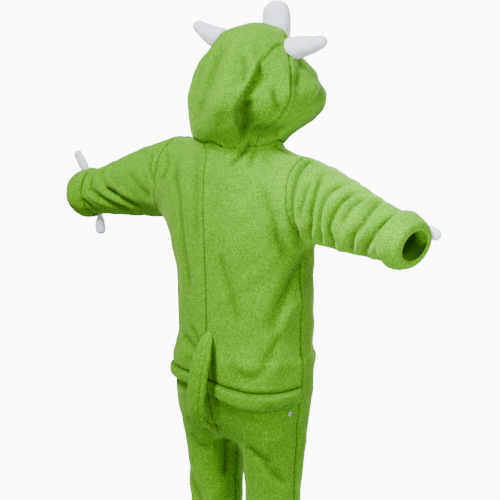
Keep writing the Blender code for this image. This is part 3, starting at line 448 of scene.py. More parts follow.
def trimmed(points, normals, gap, wrap):
    """Pulls the border rows back from the seams by half of the seam gap."""
    points = points.copy()
    moved = np.zeros_like(points)
    whole = slice(None)
    borders = [(0, whole, 1, whole), (-1, whole, -2, whole)]
    if not wrap:
        borders += [(whole, 0, whole, 1), (whole, -1, whole, -2)]
    for row, column, next_row, next_column in borders:
        edge = points[row, column]
        if wrap:
            after = unit(np.roll(edge, -1, axis=0) - edge)
            before = np.roll(after, 1, axis=0)
        else:
            steps = unit(np.diff(edge, axis=0))
            after = np.concatenate([steps, steps[-1:]])
            before = np.concatenate([steps[:1], steps])
        tangent = (after + before) / 2
        mitre = np.maximum(np.linalg.norm(tangent, axis=-1, keepdims=True), MITRE_LEAST)
        inward = unit(np.cross(unit(normals[row, column]), unit(tangent)))
        toward = points[next_row, next_column] - edge
        sign = np.sign((inward * unit(toward)).sum())
        moved[row, column] += inward * sign * gap / 2 / mitre
    return points + moved


def curve(places, values, at):
    """A smooth line through values."""
    table = [Section(p, v, 0, 0, 0, 0) for p, v in zip(places, values)]
    return smooth_column(table, "side", at)


# Folds.  Each follows points given by the angle round its tube (90 is the
# back) and the length along it; width is half of the crease, and a rise less
# than zero is a trough with a soft swell on both sides.
Fold = namedtuple("Fold", "width rise points")
FOLDS = {
    "torso": [
        Fold(0.007, -0.0085, ((150, 0.006), (136, -0.023), (115, -0.058))),
        Fold(0.006, -0.0060, ((153, -0.009), (145, -0.034), (140, -0.060))),
        Fold(0.009, -0.0050, ((159, -0.019), (158, -0.064), (156, -0.110))),
        Fold(0.013, -0.0065, ((-176, -0.215), (177, -0.243), (157, -0.316), (143, -0.405))),
        Fold(0.018, 0.0060, ((-171, -0.296), (161, -0.358), (141, -0.455))),
        Fold(0.012, -0.0060, ((159, -0.378), (148, -0.420), (135, -0.486))),
        Fold(0.022, 0.0050, ((131, -0.094), (122, -0.203), (113, -0.315))),
        Fold(0.010, -0.0065, ((149, -0.074), (150, -0.130), (154, -0.191), (164, -0.240))),
        Fold(0.013, 0.0050, ((155, -0.139), (160, -0.180), (171, -0.226))),
        Fold(0.014, -0.0050, ((108, -0.215), (111, -0.255), (117, -0.315), (123, -0.375))),
        Fold(0.015, -0.0040, ((69, -0.023), (80, -0.120), (82, -0.220))),
        Fold(0.012, -0.0060, ((31, -0.027), (57, -0.124), (66, -0.245), (70, -0.330))),
        Fold(0.009, -0.0075, ((56, -0.402), (72, -0.420), (82, -0.431))),
        Fold(0.008, -0.0070, ((70, -0.376), (78, -0.402), (86, -0.425))),
        Fold(0.012, -0.0070, ((97, -0.400), (99, -0.484), (100, -0.561))),
        Fold(0.006, -0.0060, ((76, -0.578), (85, -0.591), (106, -0.586))),
        Fold(0.012, -0.0050, ((112, -0.438), (127, -0.466), (141, -0.476))),
        Fold(0.010, -0.0060, ((-60, -0.060), (-72, -0.120), (-84, -0.190))),
        Fold(0.012, -0.0060, ((-40, -0.110), (-52, -0.170), (-66, -0.240))),
        Fold(0.010, -0.0060, ((-120, -0.060), (-110, -0.120), (-98, -0.180))),
        Fold(0.012, -0.0060, ((-142, -0.110), (-130, -0.170), (-114, -0.240))),
        Fold(0.020, 0.0060, ((-66, -0.240), (-72, -0.330), (-70, -0.420))),
        Fold(0.020, 0.0050, ((-112, -0.230), (-108, -0.330), (-112, -0.430))),
        Fold(0.013, -0.0070, ((-30, -0.330), (-50, -0.400), (-74, -0.470))),
        Fold(0.013, -0.0070, ((-148, -0.340), (-130, -0.410), (-106, -0.480))),
        Fold(0.010, -0.0070, ((-44, -0.500), (-66, -0.540), (-86, -0.570))),
        Fold(0.010, -0.0070, ((-138, -0.500), (-116, -0.545), (-94, -0.572))),
    ],
    "sleeve_right": [
        Fold(
            0.0075, -0.0105,
            ((-6, 0.008), (6, 0.013), (56, 0.039), (96, 0.054), (130, 0.061), (176, 0.045)),
        ),
        Fold(0.0065, -0.0085, ((30, 0.060), (72, 0.072), (110, 0.076))),
        Fold(0.0075, -0.0105, ((4, 0.060), (66, 0.092), (106, 0.098), (156, 0.082))),
        Fold(0.0070, -0.0100, ((8, 0.121), (43, 0.110), (95, 0.118), (122, 0.121), (150, 0.108))),
        Fold(0.0075, -0.0115, ((8, 0.150), (53, 0.143), (103, 0.139), (130, 0.146), (168, 0.124))),
        Fold(0.0065, -0.0085, ((8, 0.176), (48, 0.170), (96, 0.166))),
        Fold(
            0.0080, -0.0115,
            ((-12, 0.193), (30, 0.203), (70, 0.206), (100, 0.196), (124, 0.190), (158, 0.172)),
        ),
        Fold(0.0080, -0.0115, ((16, 0.252), (61, 0.241), (98, 0.232), (130, 0.216), (170, 0.200))),
        Fold(0.0075, -0.0095, ((-10, 0.018), (-62, 0.046), (-100, 0.060), (-130, 0.064), (-172, 0.048))),
        Fold(0.0075, -0.0100, ((-12, 0.078), (-60, 0.094), (-110, 0.100), (-160, 0.090))),
        Fold(0.0065, -0.0090, ((-12, 0.122), (-50, 0.118), (-100, 0.128))),
        Fold(0.0075, -0.0100, ((-14, 0.158), (-64, 0.150), (-118, 0.146), (-165, 0.150))),
        Fold(0.0075, -0.0095, ((-20, 0.200), (-70, 0.208), (-120, 0.196), (-160, 0.186))),
        Fold(0.0080, -0.0105, ((-8, 0.250), (-60, 0.240), (-120, 0.226), (-165, 0.220))),
    ],
    "sleeve_left": [
        Fold(0.0085, -0.0105, ((24, 0.220), (64, 0.211), (86, 0.196), (112, 0.150), (140, 0.085))),
        Fold(0.0080, -0.0080, ((30, 0.256), (84, 0.250), (108, 0.222), (128, 0.185), (150, 0.135))),
        Fold(0.0075, -0.0065, ((97, 0.294), (126, 0.270), (159, 0.250))),
        Fold(0.0065, -0.0075, ((36, 0.034), (74, 0.036), (109, 0.012))),
        Fold(0.0110, -0.0050, ((63, 0.112), (99, 0.074), (124, 0.037))),
        Fold(0.0065, -0.0060, ((41, -0.008), (67, -0.027), (101, -0.004))),
        Fold(0.0085, -0.0095, ((-40, 0.190), (-84, 0.166), (-108, 0.124), (-130, 0.080), (-148, 0.028))),
        Fold(0.0080, -0.0080, ((-50, 0.240), (-90, 0.215), (-132, 0.178))),
        Fold(0.0080, -0.0070, ((-30, 0.040), (-70, 0.060), (-110, 0.050))),
        Fold(0.0100, -0.0050, ((-20, 0.100), (-60, 0.110), (-96, 0.084))),
        Fold(0.0075, -0.0065, ((-80, 0.290), (-120, 0.275), (-155, 0.255))),
    ],
    "leg_left": [
        Fold(0.012, -0.0075, ((142, -0.607), (152, -0.685), (151, -0.741))),
        Fold(0.007, -0.0065, ((105, -0.606), (123, -0.613), (142, -0.598))),
        Fold(0.012, -0.0050, ((83, -0.618), (98, -0.648), (121, -0.658))),
        Fold(0.013, -0.0060, ((60, -0.700), (80, -0.752), (104, -0.800))),
        Fold(0.013, -0.0065, ((-60, -0.620), (-80, -0.700), (-104, -0.770))),
        Fold(0.012, -0.0060, ((-140, -0.640), (-120, -0.700), (-104, -0.740))),
        Fold(0.010, -0.0080, ((10, -0.862), (90, -0.842), (170, -0.856))),
        Fold(0.010, -0.0080, ((-10, -0.858), (-90, -0.845), (-170, -0.866))),
        Fold(0.011, -0.0060, ((40, -0.822), (80, -0.812), (130, -0.828))),
    ],
    "leg_right": [
        Fold(0.010, -0.0055, ((65, -0.527), (49, -0.540), (8, -0.525))),
        Fold(0.009, -0.0065, ((94, -0.617), (76, -0.641), (51, -0.664))),
        Fold(0.009, -0.0065, ((71, -0.650), (51, -0.684), (19, -0.715))),
        Fold(0.012, -0.0070, ((112, -0.620), (122, -0.670), (130, -0.741))),
        Fold(0.017, 0.0045, ((25, -0.590), (46, -0.607), (69, -0.612))),
        Fold(0.012, -0.0060, ((100, -0.740), (78, -0.790), (60, -0.820))),
        Fold(0.013, -0.0065, ((-50, -0.600), (-80, -0.690), (-95, -0.760))),
        Fold(0.012, -0.0060, ((-130, -0.650), (-112, -0.700), (-96, -0.730))),
        Fold(0.010, -0.0080, ((10, -0.850), (85, -0.862), (170, -0.846))),
        Fold(0.010, -0.0080, ((-15, -0.852), (-95, -0.866), (-170, -0.852))),
        Fold(0.011, -0.0060, ((50, -0.818), (95, -0.826), (140, -0.812))),
    ],
    "hood": [
        Fold(0.018, -0.0080, ((40, 0.206), (62, 0.170), (72, 0.120), (80, 0.040))),
        Fold(0.016, -0.0100, ((92, 0.205), (91, 0.120), (84, 0.020))),
        Fold(0.016, 0.0120, ((117, 0.215), (112, 0.130), (103, 0.015))),
        Fold(0.011, 0.0050, ((131, 0.205), (134, 0.160), (139, 0.110))),
        Fold(0.007, -0.0060, ((127, 0.170), (128, 0.140), (121, 0.095))),
        Fold(0.016, -0.0140, ((129, 0.094), (126, 0.056), (134, 0.024), (142, -0.008))),
        Fold(0.016, -0.0130, ((140, 0.020), (154, 0.016), (170, 0.013), (186, 0.010))),
        Fold(0.0034, -0.0070, ((-172, 0.188), (168, 0.184), (152, 0.163), (145, 0.154), (138, 0.134))),
        Fold(0.013, 0.0070, ((168, 0.165), (165, 0.120), (163, 0.064))),
        Fold(0.008, -0.0065, ((150, 0.108), (152, 0.078), (158, 0.050))),
        Fold(0.010, -0.0055, ((-152, 0.165), (-172, 0.135), (172, 0.096))),
        Fold(0.016, 0.0040, ((-128, 0.150), (-150, 0.120), (-172, 0.080))),
        Fold(0.010, -0.0050, ((-120, 0.120), (-146, 0.098), (-170, 0.064))),
        Fold(0.014, -0.0075, ((40, 0.150), (35, 0.100), (40, 0.050))),
        Fold(0.016, 0.0060, ((20, 0.160), (15, 0.110), (20, 0.060))),
        Fold(0.012, -0.0060, ((-15, 0.140), (-10, 0.100), (-20, 0.060))),
    ],
}
# Where one side of the cloth lies over the other: it stands high on the left
# of the line's way and falls sharply to its right.
OVERLAPS = {
    "hood": [
        Fold(
            0.018, 0.0125,
            (
                (142, 0.002), (130, 0.016), (121, 0.036), (119, 0.062),
                (125, 0.094), (133, 0.122), (145, 0.158),
            ),
        ),
    ],
    "sleeve_left": [
        Fold(0.013, 0.0060, ((140, 0.085), (112, 0.150), (86, 0.196), (64, 0.211), (24, 0.220))),
        Fold(0.013, 0.0050, ((-50, 0.190), (-92, 0.150), (-140, 0.060))),
    ],
    "sleeve_right": [
        Fold(0.009, 0.0040, ((130, 0.216), (96, 0.234), (60, 0.242), (16, 0.252))),
        Fold(0.009, 0.0035, ((130, 0.146), (100, 0.139), (54, 0.143), (8, 0.150))),
        Fold(0.009, 0.0035, ((130, 0.092), (106, 0.098), (66, 0.092), (4, 0.060))),
    ],
    "torso": [
        Fold(0.022, 0.0030, ((146, -0.405), (160, -0.316), (178, -0.243), (-174, -0.215))),
    ],
}
# Creases: rounding at the bottom, share, place and width of the swells beside
# them, rounding of a step, and how many of a line's parts its ends run out over.
EDGE_ROUND = 0.0010
SWELL_SHARE = 0.30
SIDE_PLACES = (1.8, 0.9)
STEP_ROUND = 0.0022
TAPER_PARTS = 0.55
SOFT_FROM = 0.0155
# Painted shade in creases, hollows and under steps: rises that are painted fully dark, reach of the
# painted dark in a crease and under a step, and what is left of it at the neck.
CREASE_FULL = 0.0090
HOLLOW_FULL = 0.0140
CREASE_REACH = 0.62
STEP_REACH = 0.5
SHADE_POWER = 1.5
SHADE_LEFT = 0.55
# Width and darkness of the shade painted beside a sewn seam.
SEAM_SHADE_WIDTH = 0.0020
SEAM_SHADE_DARK = 0.65
# A tube's folds reach this far off it, and end this far from the neck seam.
FOLD_REACH = 0.02
FADE_FROM = 0.006
FADE_OVER = 0.020
NECK_MARKS = 73
FAR = 9.0

neck_marks = []


def neck_fade(points):
    """The folds run out before the neck seam."""
    if not neck_marks:
        neck_marks.extend(neck_points(np.linspace(-180, 180, NECK_MARKS)))
    away = np.full(points.shape[:-1], FAR)
    for place in neck_marks:
        away = np.minimum(away, np.linalg.norm(points - place, axis=-1))
    return np.clip((away - FADE_FROM) / FADE_OVER, 0, 1)


def turned(angle, start):
    """Degrees from start to angle, the short way round."""
    return (angle - start + 180) % 360 - 180


def beside_line(row, angle, along, radius):
    """Distance from a fold's line, share of its length there, and distance to its left."""
    away = np.full(angle.shape, FAR)
    place = np.zeros(angle.shape)
    left_of = np.zeros(angle.shape)
    parts = len(row.points) - 1
    for part in range(parts):
        angle_a, along_a = row.points[part]
        angle_b, along_b = row.points[part + 1]
        x = np.radians(turned(angle, angle_a)) * radius
        y = along - along_a
        run_x = math.radians(turned(angle_b, angle_a)) * radius
        run_y = along_b - along_a
        size = np.hypot(run_x, run_y)
        t = np.clip((x * run_x + y * run_y) / size ** 2, 0, 1)
        far = np.hypot(x - t * run_x, y - t * run_y)
        closer = far < away
        left_of = np.where(closer, (run_x * y - run_y * x) / size, left_of)
        away = np.where(closer, far, away)
        place = np.where(closer, (part + t) / parts, place)
    return away, place, left_of


def across_fold(row, laps, away, left_of):
    """Height and painted shade across a fold's line, both as shares."""
    if laps:
        height = np.tanh(left_of / STEP_ROUND) * np.exp(-away / row.width)
        return height, np.where(left_of < 0, np.exp(-away / row.width / STEP_REACH), 0.0)
    if row.rise > 0 or row.width > SOFT_FROM:
        height = np.exp(-(away / row.width) ** 2)
        # A broad hollow is painted darker the deeper it is.
        painted_shade_amount = min(1.0, (row.rise / HOLLOW_FULL) ** 2) if row.rise < 0 else 0.0
        return height, painted_shade_amount * height
    edge = np.sqrt(away ** 2 + EDGE_ROUND ** 2) / row.width
    middle, wide = SIDE_PLACES
    swell = SWELL_SHARE * np.exp(-((edge - middle) / wide) ** 2)
    return np.exp(-edge) - swell, np.exp(-(edge / CREASE_REACH) ** SHADE_POWER)


def folded(points):
    """Height of the folds over the plain form, and the shade painted in their creases, hollows and under
    their steps, 0 to 1.
    """
    rise = np.zeros(points.shape[:-1])
    painted_shade = np.zeros(points.shape[:-1])
    for name, rows in FOLDS.items():
        tube = TUBES[name]
        side, depth, along, sizes = tube.parts(points)
        radius = (sizes[..., 2] + sizes[..., 3]) / 2
        angle = np.degrees(np.arctan2(depth, side))
        near = np.clip(1.5 - np.abs(tube.reach(points)) / FOLD_REACH, 0, 1)
        total = np.zeros(points.shape[:-1])
        lapped = OVERLAPS.get(name, [])
        for row in rows + lapped:
            away, place, left_of = beside_line(row, angle, along, radius)
            parts = len(row.points) - 1
            taper = eased(np.minimum(place, 1 - place) * parts / TAPER_PARTS)
            height, shade = across_fold(row, row in lapped, away, left_of)
            total = total + row.rise * taper * height
            strong = taper * min(1.0, abs(row.rise) / CREASE_FULL) * near
            painted_shade = np.maximum(painted_shade, strong * shade)
        rise = rise + total * near
    fade = neck_fade(points)
    return rise * fade, painted_shade * (SHADE_LEFT + (1 - SHADE_LEFT) * fade)


def fold_rise(points):
    return folded(points)[0]


def flap_rise(points):
    """The back flap stands off the seat below it."""
    return FLAP_STAND * eased((STAND_FROM - points[..., 2]) / STAND_OVER)


def flap_drop(grid, hand):
    """Lowers the flap's hem as it hangs, more on the wearer's right."""
    lower = through_three(*HEM_DROP[hand], np.linspace(0, 1, grid.shape[1]))
    share = np.clip((HEM_DROP_FROM - grid[..., 2]) / (HEM_DROP_FROM - FLAP_HEM_Z), 0, 1)
    out = grid.copy()
    out[..., 2] += lower * share
    moved = drop(whole_form, out, hold=UP)
    moved[:, 0, 0] = grid[:, 0, 0]
    return np.where(share[..., None] <= 0, grid, moved)


def inner_drop(grid):
    """Drops the inside of a patch on the form and leaves its borders."""
    out = grid.copy()
    out[1:-1, 1:-1] = drop(whole_form, grid[1:-1, 1:-1])
    return out


def rows_on_form(starts, middles, ends, count):
    """Evenly spaced rows on the form, each through three near points."""
    t = np.linspace(0, 1, count)[None, :, None]
    rows = through_three(starts[:, None], middles[:, None], ends[:, None], t)
    for _ in range(2):
        rows[:, 1:-1] = drop(whole_form, rows[:, 1:-1])
        rows = np.array([respace(row) for row in rows])
    rows[:, 1:-1] = drop(whole_form, rows[:, 1:-1])
    return rows


def neck_points(angles):
    """Points of the neck seam; angle 0 is the back, 90 degrees the left."""
    angles = np.radians(np.asarray(angles, float))
    lean = SEAM_LEAN * np.clip(np.cos(angles), 0, 1)
    x = NECK_MIDDLE + NECK_HALF_WIDTH * np.sin(angles) + lean
    y = NECK_BACK + NECK_HALF_DEPTH * np.cos(angles)
    z = NECK_RISE * np.abs(np.sin(angles)) - NECK_DIP * (1 - np.cos(angles)) / 2 - NECK_BACK_DIP
    points = np.stack([x, y, z], axis=-1)
    return drop(whole_form, points, hold=UP)


# The body's neck border, once its pieces are made.
neck_line = []


def on_neck_line(points):
    """The nearest points on the body's neck border."""
    flat = points.reshape(-1, 3)
    best = np.full(len(flat), FAR)
    found = flat.copy()
    starts = np.concatenate([row[:-1] for row in neck_line])
    runs = np.concatenate([np.diff(row, axis=0) for row in neck_line])
    for start, run in zip(starts, runs):
        t = np.clip(((flat - start) @ run) / max(run @ run, 1e-12), 0, 1)
        near = start + t[:, None] * run
        far = np.linalg.norm(flat - near, axis=1)
        closer = far < best
        best = np.where(closer, far, best)
        found = np.where(closer[:, None], near, found)
    return found.reshape(points.shape)


def hood_feet(angles):
    """Points of the neck seam on the hood's side of it."""
    return on_neck_line(neck_points(angles))


def armhole(hand):
    """The armhole seam from the underarm up the back, over and down the front."""
    cells = UPPER_ROWS * 2
    angles = np.linspace(np.pi, -np.pi, cells + 1)
    ring = sleeves[hand].ring(0.020, angles)
    normal = unit(np.array([hand * 1.0, 0.0, ARMHOLE_TILT]))
    origin = np.array([hand * ARMHOLE_X, 0.0, SLEEVE_ROOT[2]])
    ring = ring - ((ring - origin) @ normal)[:, None] * normal
    ring = drop(whole_form, ring, hold=normal)
    halves = []
    for half in (ring[:UPPER_ROWS + 1], ring[:UPPER_ROWS - 1:-1]):
        half = respace(half)
        half[1:-1] = drop(whole_form, half[1:-1], hold=normal)
        halves.append(half)
    return halves


def centre_line(face):
    """Centre seam of the front (-1) or back (1), from the crotch to the neck."""
    neck = neck_points([0.0 if face > 0 else 180.0])[0]
    z = np.concatenate([
        np.linspace(CROTCH_Z + 0.030, FLAP_HEM_Z, CROTCH_ROWS)[:-1],
        np.linspace(FLAP_HEM_Z, UNDERARM_Z, TORSO_ROWS + 1)[:-1],
        np.linspace(UNDERARM_Z, neck[2], UPPER_ROWS + 1),
    ])
    depth = smooth_column(TORSO, "depth", z) + face * smooth_column(TORSO, "half_depth", z)
    share = np.clip((z - SEAM_LEAN_FROM) / (neck[2] - SEAM_LEAN_FROM), 0, 1)
    guess = np.stack([neck[0] * share ** 2, depth, z], axis=1)
    line = drop(whole_form, guess, hold=(1, 0, 0))
    line[-1] = neck
    crotch = drop(whole_form, np.array([[CROTCH_X, CROTCH_Y, CROTCH_Z]]), hold=(1, 0, 0))
    return np.concatenate([crotch, line])


def side_line(hand, underarm):
    """Side seam from the ankle up to the underarm."""
    z = np.concatenate([
        np.linspace(ANKLE_Z, CROTCH_Z, LEG_ROWS + 1)[:-1],
        np.linspace(CROTCH_Z, FLAP_HEM_Z, CROTCH_ROWS + 1)[:-1],
        np.linspace(FLAP_HEM_Z, underarm[2], TORSO_ROWS + 1),
    ])
    table = legs[hand].table
    side = np.maximum(
        smooth_column(table, "side", z) + smooth_column(table, "half_side", z),
        np.where(z > -0.60, smooth_column(TORSO, "half_side", z), 0.0),
    )
    depth = smooth_column(TORSO, "depth", z)
    guess = np.stack([hand * side, depth, z], axis=1)
    line = drop(whole_form, guess, hold=UP)
    line[-1] = underarm
    return line


def inseam(hand, crotch):
    """Inner leg seam from the ankle up to the crotch."""
    z = np.linspace(ANKLE_Z, crotch[2], LEG_ROWS + 1)[:-1]
    guess = legs[hand].ring(z, np.full(len(z), np.pi))
    line = drop(whole_form, guess, hold=UP)
    return np.concatenate([line, crotch[None]])


def body_rows(hand, face, centre, side, inner):
    """Rows of a body panel from the ankle to the underarm level."""
    starts = np.concatenate([inner[:-1], centre[:CROTCH_ROWS + TORSO_ROWS + 1]])
    z = (starts[:, 2] + side[:, 2]) / 2
    on_leg = legs[hand].ring(z, np.full(len(z), face * np.pi / 2))
    quarter = np.pi / 4 if hand > 0 else np.pi * 3 / 4
    on_torso = torso.ring(z, np.full(len(z), face * quarter))
    is_leg = (np.arange(len(z)) < LEG_ROWS + CROTCH_ROWS)[:, None]
    middles = np.where(is_leg, on_leg, on_torso)
    return rows_on_form(starts, middles, side, COLUMNS + 1)


def upper_rows(hand, face, bottom, centre_top, arm):
    """Rows of a body panel from the underarm level to neck and shoulder."""
    angles = np.linspace(0 if face > 0 else 180, 90, NECK_CELLS + 1)
    neck = neck_points(hand * angles)
    shoulder = np.linspace(0, 1, COLUMNS - NECK_CELLS + 1)[1:, None]
    seam = neck[-1] * (1 - shoulder) + arm[-1] * shoulder
    seam[:-1] = drop(whole_form, seam[:-1])
    top = np.concatenate([neck, seam])
    return inner_drop(patch(bottom, top, centre_top, arm))

# Finer cells of the visible cloth, and how its seams and edges are drawn in.
CELL = 0.0040
SLEEVE_CELL = 0.0025
HOOD_CELL = 0.0030
FINE_CELL = 0.0018
FINER = 6
EVEN_SHARE = 0.7
SEW_GAP = 0.0001
RIM_ROUND = 0.4
Seam = namedtuple("Seam", "dip width swell pucker pitch")
SEWN = Seam(0.0024, 0.0034, 0.0008, 0.0005, 0.017)
FREE = Seam(0.0, 0.0034, 0.0, 0.0, 0.017)
SEWN_ALL = dict.fromkeys("btse", SEWN)
# Beside a seam, in its widths: place and width of the swell, reach of the
# puckers; and how unevenly the puckers follow one another.
SEAM_SWELL = (2.6, 1.6)
PUCKER_REACH = 3.2
PUCKER_DRIFT = (1.7, 0.031)
UNEVEN = 0.0011
UNEVEN_SIZE = 0.052


def refined(grid, count, axis, wrap=False):
    """More points along one direction, on smooth lines through the given ones."""
    grid = np.moveaxis(grid, axis, 0)
    size = len(grid)
    at = np.linspace(0, size - 1, count)
    if wrap:
        grid = np.concatenate([grid[-2:], grid, grid[:3]])
        at = 2.0 + np.linspace(0, size, count, endpoint=False)
    slope = np.gradient(grid, axis=0)
    low = np.clip(np.floor(at).astype(int), 0, len(grid) - 2)
    u = (at - low)[:, None, None]
    out = between(grid[low], grid[low + 1], slope[low], slope[low + 1], u)
    return np.moveaxis(out, 0, axis)


def evened(grid, count, axis, wrap=False):
    """Evenly spaced points along one direction."""
    lines = np.moveaxis(grid, axis, 1)
    if wrap:
        lines = np.concatenate([lines, lines[:, :1]], axis=1)
        count = count + 1
    places = np.linspace(0, 1, count)
    out = np.array([respace(line, places) for line in lines])
    if wrap:
        out = out[:, :-1]
    return np.moveaxis(out, 1, axis)


def mean_length(grid, axis):
    return np.linalg.norm(np.diff(grid, axis=axis), axis=-1).sum(axis).mean()


def relaxed(grid, wrap, rounds):
    """Evens the cells inside a grid and keeps it on the form."""
    inside = np.s_[1:-1] if wrap else np.s_[1:-1, 1:-1]
    for _ in range(rounds):
        beside = np.roll(grid, 1, axis=1) + np.roll(grid, -1, axis=1)
        around = grid.copy()
        around[1:-1] = (grid[:-2] + grid[2:] + beside[1:-1]) / 4
        mixed_in = grid[inside] * (1 - EVEN_SHARE) + around[inside] * EVEN_SHARE
        grid[inside] = drop(whole_form, mixed_in, rounds=1)
    return grid


def fine(grid, wrap=False, cell=CELL, cell_rows=CELL, rounds=4):
    """The fine grid of a coarse one, on the form."""
    rows = max(4, math.ceil(mean_length(grid, 0) / cell_rows)) + 1
    columns = max(4, math.ceil(mean_length(grid, 1) / cell)) + 1
    grid = refined(grid, (len(grid) - 1) * FINER + 1, 0)
    grid = refined(grid, grid.shape[1] * FINER, 1, wrap)
    grid = evened(grid, rows, 0)
    grid = evened(grid, columns, 1, wrap)
    grid = drop(whole_form, grid, rounds=3)
    return relaxed(grid, wrap, rounds)


def borders_of(grid, wrap):
    """Distance from each border and length along it, by the border's letter."""
    down = np.linalg.norm(np.diff(grid, axis=0), axis=-1)
    from_bottom = np.concatenate([np.zeros((1, grid.shape[1])), np.cumsum(down, axis=0)])
    across = np.linalg.norm(np.diff(grid, axis=1), axis=-1)
    from_start = np.concatenate([np.zeros((len(grid), 1)), np.cumsum(across, axis=1)], axis=1)
    out = {
        "b": (from_bottom, from_start),
        "t": (from_bottom[-1:] - from_bottom, from_start),
    }
    if not wrap:
        out["s"] = (from_start, from_bottom)
        out["e"] = (from_start[:, -1:] - from_start, from_bottom)
    return out


def seam_rise(grid, seams, wrap):
    """The cloth is drawn in along its sewn borders, and puckers beside them."""
    rise = np.zeros(grid.shape[:2])
    middle, wide = SEAM_SWELL
    drift, drift_length = PUCKER_DRIFT
    for letter, (away, along) in borders_of(grid, wrap).items():
        seam = seams.get(letter, FREE)
        share = away / seam.width
        rise = rise - seam.dip * np.exp(-share ** 2)
        rise = rise + seam.swell * np.exp(-((share - middle) / wide) ** 2)
        wave = np.sin(2 * np.pi * along / seam.pitch + drift * np.sin(along / drift_length))
        rise = rise + seam.pucker * wave * np.exp(-(share / PUCKER_REACH) ** 2)
    return rise


# Directions and starts of the waves that make the cloth uneven.
MOTTLE = np.random.default_rng(11)
MOTTLE_WAYS = unit(MOTTLE.normal(size=(7, 3)))
MOTTLE_STARTS = MOTTLE.uniform(0, 2 * np.pi, size=7)
MOTTLE_BEND = 3.7
MOTTLE_SUM = 3.2


def mottle(points, size):
    """Smooth unevenness between about -1 and 1."""
    total = np.zeros(points.shape[:-1])
    for k, way in enumerate(MOTTLE_WAYS):
        bend = np.sin((points @ MOTTLE_WAYS[k - 1]) * MOTTLE_BEND / size + MOTTLE_STARTS[k - 2])
        total = total + np.sin((points @ way) * 2 * np.pi / size + MOTTLE_STARTS[k] + bend)
    return total / MOTTLE_SUM


def solid(name, material, more=()):
    """A new empty object with its materials."""
    mesh = bpy.data.meshes.new(name)
    thing = bpy.data.objects.new(name, mesh)
    bpy.context.scene.collection.objects.link(thing)
    for each in (material, *more):
        mesh.materials.append(each)
    return thing


def finish(thing, tool):
    """Writes the shape into its object, faces out and shaded smooth."""
    bmesh.ops.recalc_face_normals(tool, faces=tool.faces[:])
    if tool.calc_volume(signed=True) < 0:
        bmesh.ops.reverse_faces(tool, faces=tool.faces[:])
    for face in tool.faces:
        face.smooth = True
    tool.to_mesh(thing.data)
    tool.free()
    thing.data.update()
    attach(thing, "root")


def wall(name, outer, inner, material, wrap=False, painted_shade=None):
    """A wall of cloth between its outer and inner face, its rim rounded."""
    rows, columns = outer.shape[:2]
    middle = (outer + inner) / 2
    rim = np.zeros((rows, columns, 1))
    rim[[0, -1]] = RIM_ROUND
    if not wrap:
        rim[:, [0, -1]] = RIM_ROUND
    outer = outer * (1 - rim) + middle * rim
    inner = inner * (1 - rim) + middle * rim
    thing = solid(name, material)
    tool = bmesh.new()
    across = columns if wrap else columns - 1
    bmesh.ops.create_grid(tool, x_segments=across, y_segments=rows - 1, size=1.0)
    row_tag = tool.verts.layers.int.new("row")
    column_tag = tool.verts.layers.int.new("column")
    for vert in tool.verts:
        column = round((vert.co.x + 1) / 2 * across)
        row = round((vert.co.y + 1) / 2 * (rows - 1))
        vert[row_tag] = row
        vert[column_tag] = column % columns
        if wrap:
            angle = 2 * math.pi * column / columns
            vert.co = (math.cos(angle), math.sin(angle), row)
    if wrap:
        bmesh.ops.remove_doubles(tool, verts=tool.verts[:], dist=0.0001)
    sheet = tool.faces[:]
    # Each point keeps its painted shade, which darkens the pile's colour.
    if painted_shade is not None:
        shade_tag = tool.verts.layers.float.new("painted_shade")
        for vert in tool.verts:
            vert[shade_tag] = float(painted_shade[vert[row_tag], vert[column_tag]])
    grown = bmesh.ops.extrude_face_region(tool, geom=sheet, use_keep_orig=True)
    new = [item for item in grown["geom"] if isinstance(item, bmesh.types.BMVert)]
    held = set(tool.verts) - set(new)
    for vert in held:
        vert.co = outer[vert[row_tag], vert[column_tag]]
    for vert in new:
        vert.co = inner[vert[row_tag], vert[column_tag]]
    finish(thing, tool)
    return thing


Sheet = namedtuple("Sheet", "thing width length area rests_on")
materials = {}


def plush_wall(name, outer, inner, wrap=False, painted_shade=None):
    """A piece of green plush in the place of its solid."""
    thing = wall(name + "_plush", outer, inner, materials["green"], wrap, painted_shade)
    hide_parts(name)
    return thing


def panel(name, coarse, seams, rests_on, wrap=False, extra=None, shade=None, neck="", **cells):
    """One cut piece of plush, laid on the form and sewn at its borders.

    extra raises it and shade paints more shade on it beyond the folds;
    neck names the borders that are sewn to the body at the neck.
    """
    plain = fine(coarse, wrap, **cells)
    for letter, border in (("b", np.s_[0]), ("s", np.s_[:, 0]), ("e", np.s_[:, -1])):
        if letter in neck:
            plain[border] = on_neck_line(plain[border])
    normals = unit(slope_of(whole_form, plain))
    rise, painted_shade = folded(plain)
    rise = rise + UNEVEN * mottle(plain, UNEVEN_SIZE) * neck_fade(plain)
    rise = rise + seam_rise(plain, seams, wrap)
    # Shade is painted beside each sewn border.
    for letter, (away, _) in borders_of(plain, wrap).items():
        if seams.get(letter, FREE) is SEWN:
            painted_shade = np.maximum(painted_shade, SEAM_SHADE_DARK * np.exp(-(away / SEAM_SHADE_WIDTH) ** 2))
    if extra is not None:
        rise = rise + extra(plain)
    if shade is not None:
        painted_shade = np.maximum(painted_shade, shade(plain))
    outer = trimmed(plain + normals * rise[..., None], normals, SEW_GAP, wrap)
    inner = outer - normals * CLOTH
    thing = plush_wall(name, outer, inner, wrap, painted_shade)
    return plain


# The drop seat's hem: a turned edge, full and round.
BAND_PUFF = 0.0066
BAND_DIP = 0.0038
HOOD_HEM_PUFF = 0.0040
HOOD_HEM_DIP = 0.0036

